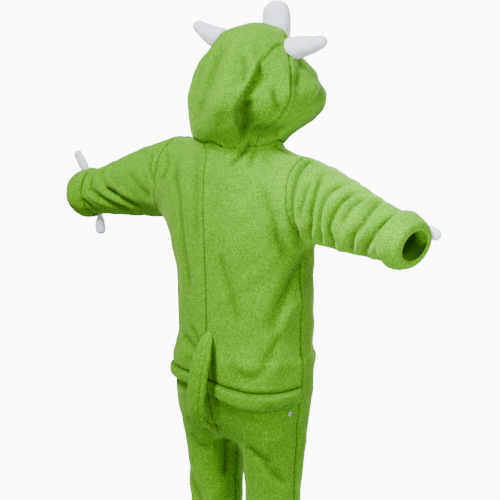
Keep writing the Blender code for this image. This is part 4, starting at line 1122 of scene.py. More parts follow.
# Cuff: share of its length and height over the sleeve, outer then inner face;
# it is full and rolls in over the sleeve's end.
CuffPoint = namedtuple("CuffPoint", "share over outer inner")
CUFF_PROFILE = [
    CuffPoint(0.00, 0.0000, 0.0016, 0.0004),
    CuffPoint(0.06, 0.0000, 0.0040, 0.0004),
    CuffPoint(0.16, 0.0000, 0.0072, 0.0004),
    CuffPoint(0.32, 0.0000, 0.0096, 0.0004),
    CuffPoint(0.50, 0.0000, 0.0102, 0.0004),
    CuffPoint(0.68, 0.0000, 0.0094, 0.0004),
    CuffPoint(0.82, 0.0000, 0.0070, 0.0004),
    CuffPoint(0.92, 0.0050, 0.0034, 0.0003),
    CuffPoint(0.96, 0.0088, -0.0030, -0.0040),
    CuffPoint(1.00, 0.0080, -0.0120, -0.0120),
]
CUFF_INNER_OVER = 0.35
CUFF_FOLDS = 0.6
# Share of the folds' painted shade on the cuff, and the width and darkness of the shade painted at its
# sewn end, on each side.
CUFF_SHADE = 0.5
CUFF_SEAM_WIDE = 0.08
CUFF_SEAM_SHADE = {LEFT: 0.25, RIGHT: 0.8}
CUFF_CLEAR = 0.0012
CUFF_CELLS = 20
CUFF_UNEVEN_SIZE = 0.034
POCKET_Z = -0.468
POCKET_HALF = 0.046
POCKET_DIP = 0.0055
POCKET_WIDTH = 0.0050
POCKET_LIP = (0.35, 2.2, 1.3)
TUCK_REACH = 0.018
TUCK_LEFT = 0.50
EDGE_LINE_IN = 0.0500
EDGE_LINE_WIDTH = 0.0026
EDGE_LINE_DIP = 0.0034


def hem_share(grid):
    """Share of a hem's width, -1 at its first row and 1 at its last."""
    from_bottom = borders_of(grid, False)["b"][0]
    return 2 * from_bottom / np.maximum(from_bottom[-1:], 1e-9) - 1


def hem_shade(grid):
    """A hem is painted with shade beside its two edges."""
    return np.clip(np.abs(hem_share(grid)) * 2.6 - 1.6, 0, 1)


def rolled(grid, puff, dip):
    """A full, round hem between the first and the last row."""
    return (puff + dip) * (1 - hem_share(grid) ** 4) - dip


def from_side(grid):
    """Distance from the side seam."""
    return borders_of(grid, False)["e"][0]


def pocket(grid):
    """The open pocket in the side seam."""
    away = from_side(grid) / POCKET_WIDTH
    tall = np.exp(-((grid[..., 2] - POCKET_Z) / POCKET_HALF) ** 6)
    share, middle, wide = POCKET_LIP
    lip = share * np.exp(-((away - middle) / wide) ** 2)
    return POCKET_DIP * tall * (lip - np.exp(-away ** 2))


def tucked(grid):
    """The flap comes down to the seat where it is sewn in the side seam."""
    return eased(from_side(grid) / TUCK_REACH)


def flap_stand(grid):
    return flap_rise(grid) * (TUCK_LEFT + (1 - TUCK_LEFT) * tucked(grid))


def flap_and_pocket(grid):
    return flap_stand(grid) + pocket(grid)


def flap_hem(grid):
    return flap_stand(grid) + rolled(grid, BAND_PUFF, BAND_DIP) * tucked(grid)


def edge_shade(grid):
    """The stitched line inside the hood's front edge, as a share: its trough, and the shade painted in
    it.
    """
    away = borders_of(grid, False)["t"][0]
    return np.exp(-np.abs((away - EDGE_LINE_IN) / EDGE_LINE_WIDTH) ** SHADE_POWER)


def hood_edge(grid):
    return -EDGE_LINE_DIP * edge_shade(grid)


def make_body():
    arms = {hand: armhole(hand) for hand in (LEFT, RIGHT)}
    lines = {face: centre_line(face) for face in (1, -1)}
    crotch = lines[1][0]
    first_torso = LEG_ROWS + CROTCH_ROWS
    open_foot = {**SEWN_ALL, "b": FREE}
    for hand in (LEFT, RIGHT):
        back_arm, front_arm = arms[hand]
        side = side_line(hand, back_arm[0])
        inner = inseam(hand, crotch)
        name = NAMES[hand]
        for face, arm in ((1, back_arm), (-1, front_arm)):
            centre = lines[face]
            low = body_rows(hand, face, centre, side, inner)
            high = upper_rows(hand, face, low[-1], centre[CROTCH_ROWS + TORSO_ROWS:], arm)
            if face < 0:
                plain = np.concatenate([low, high[1:]])
                extra = pocket if hand == RIGHT else None
                laid = panel("front_" + name, plain, open_foot, ["front_placket"], extra=extra)
                neck_line.append(laid[-1])
                continue
            plain = flap_drop(np.concatenate([low[first_torso:], high[1:]]), hand)
            under = ["seat_" + name]
            extra = flap_and_pocket if hand == RIGHT else flap_stand
            laid = panel("back_" + name, plain[1:], SEWN_ALL, under, extra=extra)
            neck_line.append(laid[-1])
            panel(
                "flap_band_" + name, plain[:2], {"s": SEWN, "e": SEWN}, under,
                extra=flap_hem, shade=hem_shade, cell_rows=FINE_CELL, rounds=0,
            )
            seat = low[:first_torso + 3]
            panel("seat_" + name, seat, {**open_foot, "t": FREE}, ["front_" + name])
        rows = make_sleeve(hand, back_arm, front_arm)
        make_cuff(hand, rows[SLEEVE_ROWS - CUFF_ROWS:])


def make_sleeve(hand, back_arm, front_arm):
    """The sleeve, from the armhole seam to its end; gives its rows."""
    ring = np.concatenate([back_arm, front_arm[-2:0:-1]])
    tube = sleeves[hand]
    angles = np.concatenate([
        np.linspace(np.pi, 0, len(back_arm)),
        np.linspace(0, -np.pi, len(front_arm))[1:-1],
    ])
    start = tube.parts(ring)[2]
    rows = [ring]
    for k in range(1, SLEEVE_ROWS + 1):
        share = k / SLEEVE_ROWS
        along = start * (1 - share) + SLEEVE_LENGTH[hand] * share
        plain = tube.ring(along, angles)
        early = max(0.0, 1 - k / EARLY_ROWS)
        shift = plain - tube.ring(start, angles)
        guess = plain * (1 - early) + (ring + shift) * early
        rows.append(drop(whole_form, guess, hold=tube.frame[2] if k >= EARLY_ROWS else None))
    rows = np.array(rows)
    panel(
        "sleeve_" + NAMES[hand], rows, {"b": SEWN, "t": FREE}, ["back_" + NAMES[hand]],
        wrap=True, cell=SLEEVE_CELL, cell_rows=SLEEVE_CELL,
    )
    return rows


def make_cuff(hand, rows):
    """The full cuff over the sleeve's last rows."""
    name = NAMES[hand]
    onward = sleeves[hand].frame[2]
    band = fine(rows, True, cell=SLEEVE_CELL, cell_rows=FINE_CELL, rounds=0)
    lines = refined(band, CUFF_CELLS + 1, 0)
    normals = unit(slope_of(whole_form, lines))
    fold, shade = folded(lines)
    table = np.array(CUFF_PROFILE, float)
    share = np.linspace(0, 1, CUFF_CELLS + 1)
    over, outward, inward = (np.interp(share, table[:, 0], table[:, k])[:, None] for k in (1, 2, 3))
    past = over / table[-1, 1]
    uneven = CUFF_FOLDS * fold + UNEVEN * mottle(lines, CUFF_UNEVEN_SIZE)
    rise = outward + uneven * (1 - past)
    ahead = onward * over[..., None]
    outer = lines + normals * rise[..., None] + ahead
    under = np.minimum(inward, rise - CUFF_CLEAR)
    clear = np.where(past > 0, CUFF_CLEAR, 0.0)
    inner = lines + normals * under[..., None] + ahead * CUFF_INNER_OVER + onward * clear[..., None]
    # Shade painted at the cuff's sewn end and in its folds.
    seam = CUFF_SEAM_SHADE[hand] * np.exp(-(share / CUFF_SEAM_WIDE) ** 2)[:, None]
    painted_shade = np.clip(seam + CUFF_SHADE * shade, 0, 1)
    thing = plush_wall("cuff_" + name, outer, inner, True, painted_shade)


def hood_ribs(feet, tops, count):
    """Lines over the hood, each from its left foot to its right foot."""
    feet = np.asarray(feet, float)
    tops = np.asarray(tops, float)
    left = hood_feet(feet)[:, None]
    right = hood_feet(-feet)[:, None]
    apex = hood.root + tops[:, :1] * np.array(HOOD_DEPTH)
    apex = (apex + tops[:, 1:] * UP)[:, None]
    middle = (left + right) / 2
    angles = np.linspace(0, np.pi, RIB_POINTS)[None, :, None]
    lines = middle + np.cos(angles) * (left - middle) + np.sin(angles) * (apex - middle)
    lines = lines + np.array(HOOD_SIDE) * np.sin(2 * angles) * RIB_SPREAD
    for _ in range(2):
        lines[:, 1:-1] = drop(hood_form, lines[:, 1:-1])
        lines = np.array([respace(line) for line in lines])
    lines = np.array([respace(line, np.linspace(0, 1, count)) for line in lines])
    step = np.minimum(np.arange(count), np.arange(count)[::-1])
    floor = np.maximum(left[..., 2], right[..., 2]) + RIB_LIFT * np.minimum(step, 3)
    lines[:, 1:-1, 2] = np.maximum(lines[:, 1:-1, 2], floor[:, 1:-1])
    lines[:, 1:-1] = drop(whole_form, lines[:, 1:-1], hold=UP, rounds=2)
    lines[:, 1:-1] = drop(whole_form, lines[:, 1:-1])
    return lines


def hood_hem(grid):
    return rolled(grid, HOOD_HEM_PUFF, HOOD_HEM_DIP)


def make_hood():
    count = HOOD_COLUMNS + 1
    back = hood_feet(np.linspace(HOOD_BACK_FOOT, -HOOD_BACK_FOOT, count))
    profile = np.array([(row[0], row[1], 0.0) for row in HOOD_PROFILE + [FRONT_SEAM_TOP]])
    shares = np.linspace(0, 1, HOOD_RIBS + 1)
    tops = respace(profile, shares)[:, :2]
    feet = HOOD_BACK_FOOT + (FRONT_SEAM_FOOT - HOOD_BACK_FOOT) * shares
    front_shares = np.linspace(0, 1, FRONT_RIBS + 1)[1:]
    front_feet = FRONT_SEAM_FOOT + (HEM_FOOT - FRONT_SEAM_FOOT) * front_shares
    ahead = np.array([(*FRONT_SEAM_TOP, 0.0), (*FRONT_MIDDLE_TOP, 0.0), (*HEM_TOP, 0.0)])
    front_tops = respace(ahead, np.linspace(0, 1, FRONT_RIBS + 1))[1:, :2]
    feet = np.concatenate([feet[1:], front_feet, [OPENING_FOOT]])
    tops = np.concatenate([tops[1:], front_tops, [OPENING_TOP]])
    ribs = np.concatenate([back[None], hood_ribs(feet, tops, count)])
    seam = HOOD_RIBS
    end = HOOD_RIBS + FRONT_RIBS
    small = {"cell": HOOD_CELL, "cell_rows": HOOD_CELL}
    panel("hood_back", ribs[:seam + 1], SEWN_ALL, ["back_left", "back_right"], neck="bse", **small)
    panel(
        "hood_front", ribs[seam:end + 1], {**SEWN_ALL, "t": FREE}, ["hood_back"],
        extra=hood_edge, shade=edge_shade, neck="se", **small,
    )
    panel(
        "hood_hem", ribs[end:end + 2], {}, ["hood_front"],
        extra=hood_hem, shade=hem_shade, neck="se", cell_rows=FINE_CELL, rounds=0,
    )
    make_neck_tape()


# The tape inside the neck seam: half of its height, depth under the plush
# and thickness, and how far round it goes.
TAPE_HALF = 0.007
TAPE_DEPTH = 0.0052
TAPE_CLOTH = 0.0009
TAPE_TURN = 150.0
TAPE_MARKS = 161
TAPE_ROWS = 7


def make_neck_tape():
    line = hood_feet(np.linspace(-TAPE_TURN, TAPE_TURN, TAPE_MARKS))
    normals = unit(slope_of(whole_form, line))
    up = UP - normals[..., 2:] * normals
    rise = np.linspace(-TAPE_HALF, TAPE_HALF, TAPE_ROWS)[:, None, None]
    outer = line + unit(up) * rise - normals * TAPE_DEPTH
    inner = outer - normals * TAPE_CLOTH
    thing = wall("neck_tape", outer, inner, materials["tape"])


# The closing strip: where it starts under the neck, how it follows the centre
# seam, its height over the cloth, its stitched line and its soft edge.
PLACKET_NECK = 0.004
PLACKET_LEAN_OVER = 0.25
PLACKET_LOFT = 0.0006
STITCH_DIP = 0.0011
STITCH_IN = 0.0042
STITCH_WIDTH = 0.0013
EDGE_DIP = 0.0008
EDGE_WIDTH = 0.0016


def make_placket():
    """The front closing, a strip over the centre front with hidden snaps."""
    neck = neck_points([180.0])[0]
    z = np.linspace(PLACKET_END_Z, neck[2] - PLACKET_NECK, PLACKET_ROWS + 1)
    side = np.linspace(PLACKET_HALF, -PLACKET_HALF, 3)
    depth = smooth_column(TORSO, "depth", z) - smooth_column(TORSO, "half_depth", z)
    lean = neck[0] * np.clip(1 + z / PLACKET_LEAN_OVER, 0, 1)[:, None] ** 2
    strip = np.zeros((len(z), len(side), 3))
    strip[..., 0] = side + lean
    strip[..., 1] = depth[:, None]
    strip[..., 2] = z[:, None]
    strip = drop(whole_form, strip, hold=(1, 0, 0))
    plain = fine(strip, cell=FINE_CELL, rounds=0)
    normals = unit(slope_of(whole_form, plain))
    away = np.minimum.reduce([part[0] for part in borders_of(plain, False).values()])
    base = fold_rise(plain) + LAYER_GAP
    rise = base + LAYER_GAP + PLACKET_CLOTH + PLACKET_LOFT
    rise = rise - STITCH_DIP * np.exp(-((away - STITCH_IN) / STITCH_WIDTH) ** 2)
    rise = rise - EDGE_DIP * np.exp(-(away / EDGE_WIDTH) ** 2)
    outer = plain + normals * rise[..., None]
    inner = plain + normals * base[..., None]
    thing = plush_wall("front_placket", outer, inner)


# A sewn line, or a ring, in the skin of a stuffed piece.
Groove = namedtuple("Groove", "angle width depth")
Ring = namedtuple("Ring", "share width depth")
# Stuffed pieces: where their rounded ends start, how their cells crowd to the
# ends, how uneven they are, and how full.
ROUND_FROM = 0.72
END_CROWD = 0.55
LINE_POINTS = 90
STUFF_UNEVEN = 0.0007
STUFF_SIZE = 0.030
SEAT_ROUNDS = 5


def stuffed(name, axis, across, widths, flats, paint, seat, grooves=(), rings=(), cells=(56, 48)):
    """A stuffed piece round a curved line, drawn in along its sewn lines."""
    slot_name, material = paint
    thing = solid(name + "_plush", material)
    tool = bmesh.new()
    bmesh.ops.create_uvsphere(tool, u_segments=cells[0], v_segments=cells[1], radius=1.0)
    axis = np.array(axis, float)
    places = np.linspace(0, 1, len(axis))
    local = np.array([vert.co for vert in tool.verts])
    t = np.clip((1 + local[:, 2]) / 2, 0, 1)
    even = 1 - np.arccos(np.clip(local[:, 2], -1, 1)) / np.pi
    t = END_CROWD * t + (1 - END_CROWD) * even
    finer = np.linspace(0, 1, LINE_POINTS)
    line = np.stack([curve(places, axis[:, k], finer) for k in range(3)], axis=1)
    heading = unit(np.gradient(line, axis=0))
    middle = np.stack([np.interp(t, finer, line[:, k]) for k in range(3)], axis=1)
    ahead = unit(np.stack([np.interp(t, finer, heading[:, k]) for k in range(3)], axis=1))
    first = unit(np.cross(ahead, np.asarray(across, float)))
    second = np.cross(ahead, first)
    ring = np.hypot(local[:, 0], local[:, 1]) + 1e-12
    radius = curve(np.linspace(0, 1, len(widths)), np.array(widths), t)
    flat = np.interp(t, np.linspace(0, 1, len(flats)), flats)
    beyond = np.clip(np.abs(2 * t - 1) - ROUND_FROM, 0, 1) / (1 - ROUND_FROM)
    end = np.sqrt(np.clip(1 - beyond ** 2, 0, 1))
    angle = np.degrees(np.arctan2(local[:, 1], local[:, 0]))
    for groove in grooves:
        turn = turned(angle, groove.angle)
        radius = radius * (1 - groove.depth * np.exp(-(turn / groove.width) ** 2))
    for row in rings:
        radius = radius * (1 - row.depth * np.exp(-((t - row.share) / row.width) ** 2))
    co = middle + first * (radius * end * local[:, 0] / ring)[:, None]
    co = co + second * (radius * flat * end * local[:, 1] / ring)[:, None]
    outward = unit(co - middle + 1e-9)
    co = co + outward * (STUFF_UNEVEN * end * mottle(co, STUFF_SIZE))[:, None]
    co = seat(co)
    for vert, place in zip(tool.verts, co):
        vert.co = place
    finish(thing, tool)
    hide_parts(name)


def clear_of_cloth(clearance, extra=None):
    """Lifts the points of a piece off the cloth it is sewn on."""
    def seat(points):
        out = points.copy()
        for _ in range(SEAT_ROUNDS):
            rise = fold_rise(out)
            if extra is not None:
                rise = rise + extra(out)
            low = np.minimum(whole_form(out) - rise - clearance, 0)
            out = out - unit(slope_of(whole_form, out)) * low[..., None]
        return out
    return seat


def hood_place(side, depth, height):
    """A point given in the hood's own directions."""
    return hood.root + np.array([side, depth, height]) @ hood.frame


# The pad leans to the wearer's left; shares of the solids' widths.
CREST_TILT = 0.013
CREST_SHARE = 0.90
CLAW_SHARE = 1.22
# Shares of the width that the flatter pieces are thick.
CREST_FLAT = 0.72
TAIL_FLAT = 0.60
CLAW_FLAT = 0.62
CLAW_CELLS = (32, 32)
CLAW_LIFT_FRONT = 0.0042


def make_horns():
    seat = clear_of_cloth(SEAT_GAP)
    white = ("white_plush", materials["white"])
    seams = [Groove(70, 7, 0.035), Groove(-110, 7, 0.035)]
    for name, hand, root, rows in (
        ("left", LEFT, HORN_ROOT_LEFT, HORN_LINE_LEFT),
        ("right", RIGHT, HORN_ROOT_RIGHT, HORN_LINE_RIGHT),
    ):
        side, depth, height = root
        line = []
        for out, up, forward in rows:
            line.append(hood_place(side + hand * out, depth - forward, height + up))
        stuffed("horn_" + name, line, (0, 1, 0), HORN_WIDTHS, (1.0, 1.0), white, seat, seams)
    line = []
    for place, (lean, up) in enumerate(CREST_LINE):
        side = CREST_SIDE + CREST_TILT * place / (len(CREST_LINE) - 1)
        line.append(hood_place(side, CREST_DEPTH - lean, up))
    seams = [Groove(15, 8, 0.05), Groove(195, 8, 0.05)]
    widths = [width * CREST_SHARE for width in CREST_WIDTHS]
    stuffed("horn_middle", line, hood.frame[1], widths, (CREST_FLAT, CREST_FLAT), white, seat, seams)


def make_tail():
    green = ("green_plush", materials["green"])
    seams = [Groove(40, 10, 0.16), Groove(-140, 11, 0.20)]
    stuffed(
        "tail", TAIL_LINE, (0, 1, 0), TAIL_WIDTHS, (TAIL_FLAT, TAIL_FLAT), green,
        clear_of_cloth(SEAT_GAP, flap_rise), seams,
    )


def make_claws():
    white = ("white_plush", materials["white"])
    for name, line, widths, lift, rings in (
        ("claw_left_top", CLAW_TOP_LINE, CLAW_TOP_WIDTHS, CLAW_LIFT, [Ring(0.80, 0.04, 0.10)]),
        ("claw_left_under", CLAW_UNDER_LINE, CLAW_UNDER_WIDTHS, 0.0, [Ring(0.42, 0.05, 0.10)]),
        ("claw_right_front", CLAW_FRONT_LINE, CLAW_TOP_WIDTHS, CLAW_LIFT_FRONT, []),
    ):
        seams = [Groove(90, 12, 0.05), Groove(-90, 12, 0.05)]
        full = [width * CLAW_SHARE for width in widths]
        flats = (CLAW_FLAT, CLAW_FLAT)
        stuffed(
            name, line, (0, 1, 0), full, flats, white, clear_of_cloth(lift), seams, rings, CLAW_CELLS,
        )


# The hollow in a snap's cap, painted dark as its shade, and round cells of the cap.
SNAP_HOLLOW = 0.0019
SNAP_STEPS = 40
# Half of the section of a snap's cap: distance from its middle and height.
SnapPoint = namedtuple("SnapPoint", "out height")
SNAP_PROFILE = [
    SnapPoint(0.0000, 0.0009),
    SnapPoint(0.0013, 0.0009),
    SnapPoint(0.0016, 0.0012),
    SnapPoint(0.0018, 0.0021),
    SnapPoint(0.0026, 0.0024),
    SnapPoint(0.0040, 0.0024),
    SnapPoint(0.0049, 0.0020),
    SnapPoint(0.0052, 0.0012),
    SnapPoint(0.0052, 0.0002),
    SnapPoint(0.0000, 0.0002),
]


def make_snaps():
    """Snap fasteners of the back flap, on the cloth under its hem."""
    for name, guess in (("snap_left", SNAP_LEFT), ("snap_right", SNAP_RIGHT)):
        plain = drop(whole_form, np.array([guess], float))
        normal = unit(slope_of(whole_form, plain))[0]
        place = plain[0] + normal * fold_rise(plain)[0]
        thing = solid(name + "_cap", materials["steel"], [materials["dark"]])
        tool = bmesh.new()
        row = [tool.verts.new((point.out, 0.0, point.height)) for point in SNAP_PROFILE]
        line = [tool.edges.new(pair) for pair in zip(row, row[1:])]
        bmesh.ops.spin(
            tool, geom=row + line, cent=(0, 0, 0), axis=(0, 0, 1), dvec=(0, 0, 0),
            angle=math.tau, steps=SNAP_STEPS, use_merge=True,
        )
        bmesh.ops.remove_doubles(tool, verts=tool.verts[:], dist=0.00001)
        for face in tool.faces:
            middle = face.calc_center_median()
            hollow = math.hypot(middle.x, middle.y) < SNAP_HOLLOW and middle.z > SNAP_LIFT
            # Faces in the hollow take the material painted dark for its shade.
            face.material_index = 1 if hollow else 0
        across = unit(np.cross(UP, normal))
        up = np.cross(normal, across)
        for vert in tool.verts:
            x, y, z = vert.co
            vert.co = place + across * x + up * y + normal * (z + SNAP_LIFT)
        finish(thing, tool)
        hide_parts(name)


def link(tree, out, into):
    tree.links.new(out, into)


def node(tree, kind, **values):
    made = tree.nodes.new(kind)
    for key, value in values.items():
        setattr(made, key, value)
    return made


def maths(tree, operation, first, second, third=None, clamp=False):
    made = node(tree, "ShaderNodeMath", operation=operation, use_clamp=clamp)
    for place, value in enumerate((first, second, third)):
        if value is None:
            continue
        if isinstance(value, (int, float)):
            made.inputs[place].default_value = value
        else:
            link(tree, value, made.inputs[place])
    return made.outputs[0]


def noise(tree, where, scale, detail, roughness=0.5):
    made = node(tree, "ShaderNodeTexNoise")
    link(tree, where, made.inputs["Vector"])
    made.inputs["Scale"].default_value = scale
    made.inputs["Detail"].default_value = detail
    made.inputs["Roughness"].default_value = roughness
    return made.outputs["Fac"]


def mixed(tree, share, first, second):
    """A colour between two."""
    made = node(tree, "ShaderNodeMix", data_type="RGBA")
    for socket, value in ((made.inputs[0], share), (made.inputs[6], first), (made.inputs[7], second)):
        if isinstance(value, tuple):
            socket.default_value = value
        elif isinstance(value, (int, float)):
            socket.default_value = value
        else:
            link(tree, value, socket)
    return made.outputs[2]


def pile_group():
    """Short soft pile: tufts, brushed patches and the height of the fibres; its colour is darkened by
    the painted shade of creases, seams and hems.
    """
    group = bpy.data.node_groups.new("soft_pile", "ShaderNodeTree")
    face = group.interface
    face.new_socket("Root Colour", in_out="INPUT", socket_type="NodeSocketColor")
    face.new_socket("Tip Colour", in_out="INPUT", socket_type="NodeSocketColor")
    face.new_socket("Tuft Scale", in_out="INPUT", socket_type="NodeSocketFloat")
    face.new_socket("Crease Shade", in_out="INPUT", socket_type="NodeSocketFloat")
    face.new_socket("Colour", in_out="OUTPUT", socket_type="NodeSocketColor")
    face.new_socket("Height", in_out="OUTPUT", socket_type="NodeSocketFloat")
    ins = group.nodes.new("NodeGroupInput")
    outs = group.nodes.new("NodeGroupOutput")
    where = node(group, "ShaderNodeTexCoord").outputs["Object"]
    tufts = node(group, "ShaderNodeTexVoronoi", feature="SMOOTH_F1")
    bend = node(group, "ShaderNodeTexNoise", noise_dimensions="3D")
    link(group, where, bend.inputs["Vector"])
    bend.inputs["Scale"].default_value = 160.0
    shifted = node(group, "ShaderNodeVectorMath", operation="MULTIPLY_ADD")
    link(group, bend.outputs["Color"], shifted.inputs[0])
    shifted.inputs[1].default_value = (0.004, 0.004, 0.004)
    link(group, where, shifted.inputs[2])
    link(group, shifted.outputs[0], tufts.inputs["Vector"])
    link(group, ins.outputs["Tuft Scale"], tufts.inputs["Scale"])
    tufts.inputs["Smoothness"].default_value = 0.6
    fibre = noise(group, where, 640.0, 1.0, 0.6)
    clump = noise(group, where, 430.0, 1.0, 0.6)
    patch_tone = noise(group, where, 9.0, 1.0, 0.4)
    tuft = maths(group, "SUBTRACT", 1.0, tufts.outputs["Distance"], clamp=True)
    height = maths(group, "MULTIPLY", tuft, 0.40)
    height = maths(group, "MULTIPLY_ADD", fibre, 0.45, height)
    height = maths(group, "MULTIPLY_ADD", clump, 0.45, height)
    spread = node(group, "ShaderNodeMapRange")
    link(group, height, spread.inputs["Value"])
    spread.inputs["From Min"].default_value = 0.58
    spread.inputs["From Max"].default_value = 0.86
    toned = maths(group, "MULTIPLY_ADD", patch_tone, 0.16, -0.08)
    share = maths(group, "ADD", spread.outputs["Result"], toned, clamp=True)
    colour = mixed(group, share, ins.outputs["Root Colour"], ins.outputs["Tip Colour"])
    # Painted shade of creases, seams and hems, read at each point.
    painted_shade_amount = node(group, "ShaderNodeAttribute", attribute_name="painted_shade")
    dark = maths(group, "MULTIPLY", painted_shade_amount.outputs["Fac"], ins.outputs["Crease Shade"])
    left = maths(group, "SUBTRACT", 1.0, dark, clamp=True)
    shaded = node(group, "ShaderNodeVectorMath", operation="SCALE")
    link(group, colour, shaded.inputs[0])
    link(group, left, shaded.inputs["Scale"])
    link(group, shaded.outputs[0], outs.inputs["Colour"])
    link(group, height, outs.inputs["Height"])
    return group


# How far the painted shade darkens the pile where it is full.
CREASE_SHADE = 0.62
Pile = namedtuple("Pile", "root tip tuft depth roughness sheen sheen_tint sheen_roughness")
PILES = {
    "green": Pile(
        (0.054, 0.198, 0.005, 1), (0.185, 0.545, 0.016, 1), 560.0, 0.0006,
        0.95, 0.25, (0.60, 1.0, 0.22, 1), 0.50,
    ),
    "white": Pile(
        (0.74, 0.79, 0.92, 1), (0.92, 0.95, 1.00, 1), 600.0, 0.0004,
        0.90, 0.30, (0.95, 0.97, 1.0, 1), 0.50,
    ),
}


def make_tape_cloth():
    """Twill tape: fine slanting ribs."""
    material = bpy.data.materials.new("neck_tape")
    material.use_nodes = True
    tree = material.node_tree
    shader = tree.nodes["Principled BSDF"]
    where = node(tree, "ShaderNodeTexCoord").outputs["Object"]
    ribs = node(tree, "ShaderNodeTexWave", wave_type="BANDS", bands_direction="DIAGONAL")
    link(tree, where, ribs.inputs["Vector"])
    ribs.inputs["Scale"].default_value = 420.0
    ribs.inputs["Distortion"].default_value = 1.5
    colour = mixed(tree, ribs.outputs["Fac"], (0.030, 0.105, 0.004, 1), (0.060, 0.180, 0.008, 1))
    link(tree, colour, shader.inputs["Base Color"])
    shader.inputs["Roughness"].default_value = 0.9
    materials["tape"] = material


def make_materials():
    group = pile_group()
    for name, pile in PILES.items():
        material = bpy.data.materials.new(name + "_plush")
        material.use_nodes = True
        tree = material.node_tree
        shader = tree.nodes["Principled BSDF"]
        fluff = node(tree, "ShaderNodeGroup", node_tree=group)
        fluff.inputs["Root Colour"].default_value = pile.root
        fluff.inputs["Tip Colour"].default_value = pile.tip
        fluff.inputs["Tuft Scale"].default_value = pile.tuft
        fluff.inputs["Crease Shade"].default_value = CREASE_SHADE
        link(tree, fluff.outputs["Colour"], shader.inputs["Base Color"])
        bump = node(tree, "ShaderNodeBump")
        bump.inputs["Strength"].default_value = 0.75
        bump.inputs["Distance"].default_value = pile.depth
        link(tree, fluff.outputs["Height"], bump.inputs["Height"])
        link(tree, bump.outputs["Normal"], shader.inputs["Normal"])
        shader.inputs["Roughness"].default_value = pile.roughness
        shader.inputs["Specular IOR Level"].default_value = 0.08
        shader.inputs["Sheen Weight"].default_value = pile.sheen
        shader.inputs["Sheen Tint"].default_value = pile.sheen_tint
        shader.inputs["Sheen Roughness"].default_value = pile.sheen_roughness
        materials[name] = material
    make_tape_cloth()
    steel = bpy.data.materials.new("snap_metal")
    steel.use_nodes = True
    tree = steel.node_tree
    shader = tree.nodes["Principled BSDF"]
    where = node(tree, "ShaderNodeTexCoord").outputs["Object"]
    worn = noise(tree, where, 700.0, 3.0)
    colour = mixed(tree, worn, (0.62, 0.62, 0.60, 1), (0.82, 0.82, 0.80, 1))
    link(tree, colour, shader.inputs["Base Color"])
    rough = maths(tree, "MULTIPLY_ADD", worn, 0.25, 0.22)
    link(tree, rough, shader.inputs["Roughness"])
    shader.inputs["Metallic"].default_value = 1.0
    materials["steel"] = steel
    # A copy of the metal painted near black, as the shade in a snap's hollow.
    dark = steel.copy()
    dark.name = "snap_hollow_painted_shade"
    for made in dark.node_tree.nodes:
        if made.bl_idname == "ShaderNodeMix":
            made.inputs[6].default_value = (0.03, 0.03, 0.03, 1)
            made.inputs[7].default_value = (0.07, 0.07, 0.07, 1)
    materials["dark"] = dark


# The photograph's view, lights and the pale ground.
VIEW_TURN = 218.0
VIEW_RISE = 9.0
VIEW_FAR = 2.70
VIEW_AT = (-0.0034, -0.0029, -0.236)
VIEW_LENS = 93.3
FLOOR_Z = -0.945
FLOOR_RADIUS = 0.42
WORLD_LIGHT = 0.30
WORLD_SEEN = 11.0

Light = namedtuple("Light", "name turn rise far size power")
LIGHTS = [
    Light("key", 174.0, 54.0, 2.4, 0.6, 98.0),
    Light("side", 262.0, 24.0, 2.4, 1.2, 34.0),
    Light("soft", 205.0, 14.0, 3.4, 2.4, 24.0),
    Light("front", 12.0, 24.0, 3.2, 1.6, 150.0),
]


# Narrow lamps over and under the near sleeve.
Lamp = namedtuple("Lamp", "name place at cone blend size power")
LAMPS = [
    Lamp("over_sleeve", (-0.35, 0.90, 1.00), (-0.38, 0.06, -0.18), 27.0, 0.9, 0.12, 120.0),
    Lamp("under_sleeve", (-0.75, 1.10, -1.05), (-0.34, 0.06, -0.18), 25.0, 0.9, 0.30, 170.0),
]


def place_at(turn, rise, far, at):
    a = math.radians(turn)
    e = math.radians(rise)
    back = (math.sin(a) * math.cos(e), -math.cos(a) * math.cos(e), math.sin(e))
    return [at[k] + back[k] * far for k in range(3)], back


def facing(back):
    return (-Vector(back)).to_track_quat("-Z", "Y")


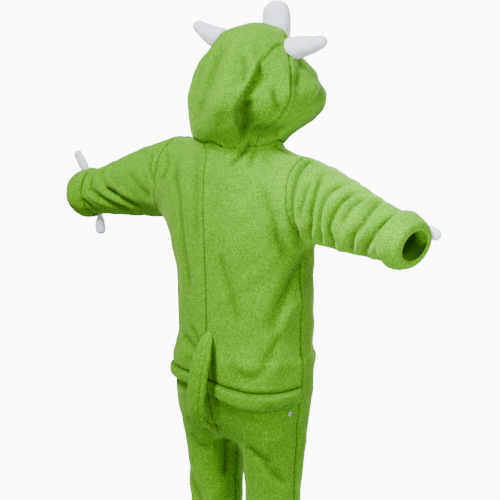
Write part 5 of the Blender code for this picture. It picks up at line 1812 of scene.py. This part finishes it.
def make_view():
    data = bpy.data.cameras.new("view")
    data.lens = VIEW_LENS
    data.clip_end = 60.0
    thing = bpy.data.objects.new("view", data)
    bpy.context.scene.collection.objects.link(thing)
    thing.rotation_mode = "QUATERNION"
    thing.location, back = place_at(VIEW_TURN, VIEW_RISE, VIEW_FAR, VIEW_AT)
    thing.rotation_quaternion = facing(back)
    bpy.context.scene.camera = thing
    for light in LIGHTS:
        lamp = bpy.data.lights.new(light.name, "AREA")
        lamp.shape = "DISK"
        lamp.size = light.size
        lamp.energy = light.power
        holder = bpy.data.objects.new(light.name, lamp)
        bpy.context.scene.collection.objects.link(holder)
        holder.rotation_mode = "QUATERNION"
        holder.location, back = place_at(light.turn, light.rise, light.far, (0, 0, -0.3))
        holder.rotation_quaternion = facing(back)
    for row in LAMPS:
        lamp = bpy.data.lights.new(row.name, "SPOT")
        lamp.energy = row.power
        lamp.spot_size = math.radians(row.cone)
        lamp.spot_blend = row.blend
        lamp.shadow_soft_size = row.size
        holder = bpy.data.objects.new(row.name, lamp)
        bpy.context.scene.collection.objects.link(holder)
        holder.rotation_mode = "QUATERNION"
        holder.location = row.place
        holder.rotation_quaternion = facing(Vector(row.place) - Vector(row.at))
    world = bpy.data.worlds.new("studio")
    world.use_nodes = True
    tree = world.node_tree
    ground = tree.nodes["Background"]
    ground.inputs["Color"].default_value = (1.0, 1.0, 1.0, 1)
    seen = tree.nodes.new("ShaderNodeLightPath").outputs["Is Camera Ray"]
    strength = maths(tree, "MULTIPLY_ADD", seen, WORLD_SEEN - WORLD_LIGHT, WORLD_LIGHT)
    tree.links.new(strength, ground.inputs["Strength"])
    bpy.context.scene.world = world
    mesh = bpy.data.meshes.new("floor")
    floor = bpy.data.objects.new("floor", mesh)
    bpy.context.scene.collection.objects.link(floor)
    tool = bmesh.new()
    bmesh.ops.create_circle(tool, cap_ends=True, segments=96, radius=FLOOR_RADIUS)
    for vert in tool.verts:
        vert.co.z = FLOOR_Z
    tool.to_mesh(mesh)
    tool.free()
    pale = bpy.data.materials.new("floor")
    pale.use_nodes = True
    shader = pale.node_tree.nodes["Principled BSDF"]
    shader.inputs["Base Color"].default_value = (0.86, 0.86, 0.86, 1)
    shader.inputs["Roughness"].default_value = 0.9
    mesh.materials.append(pale)


def main():
    make_materials()
    make_body()
    make_hood()
    make_placket()
    make_horns()
    make_tail()
    make_claws()
    make_snaps()
    make_view()


main()
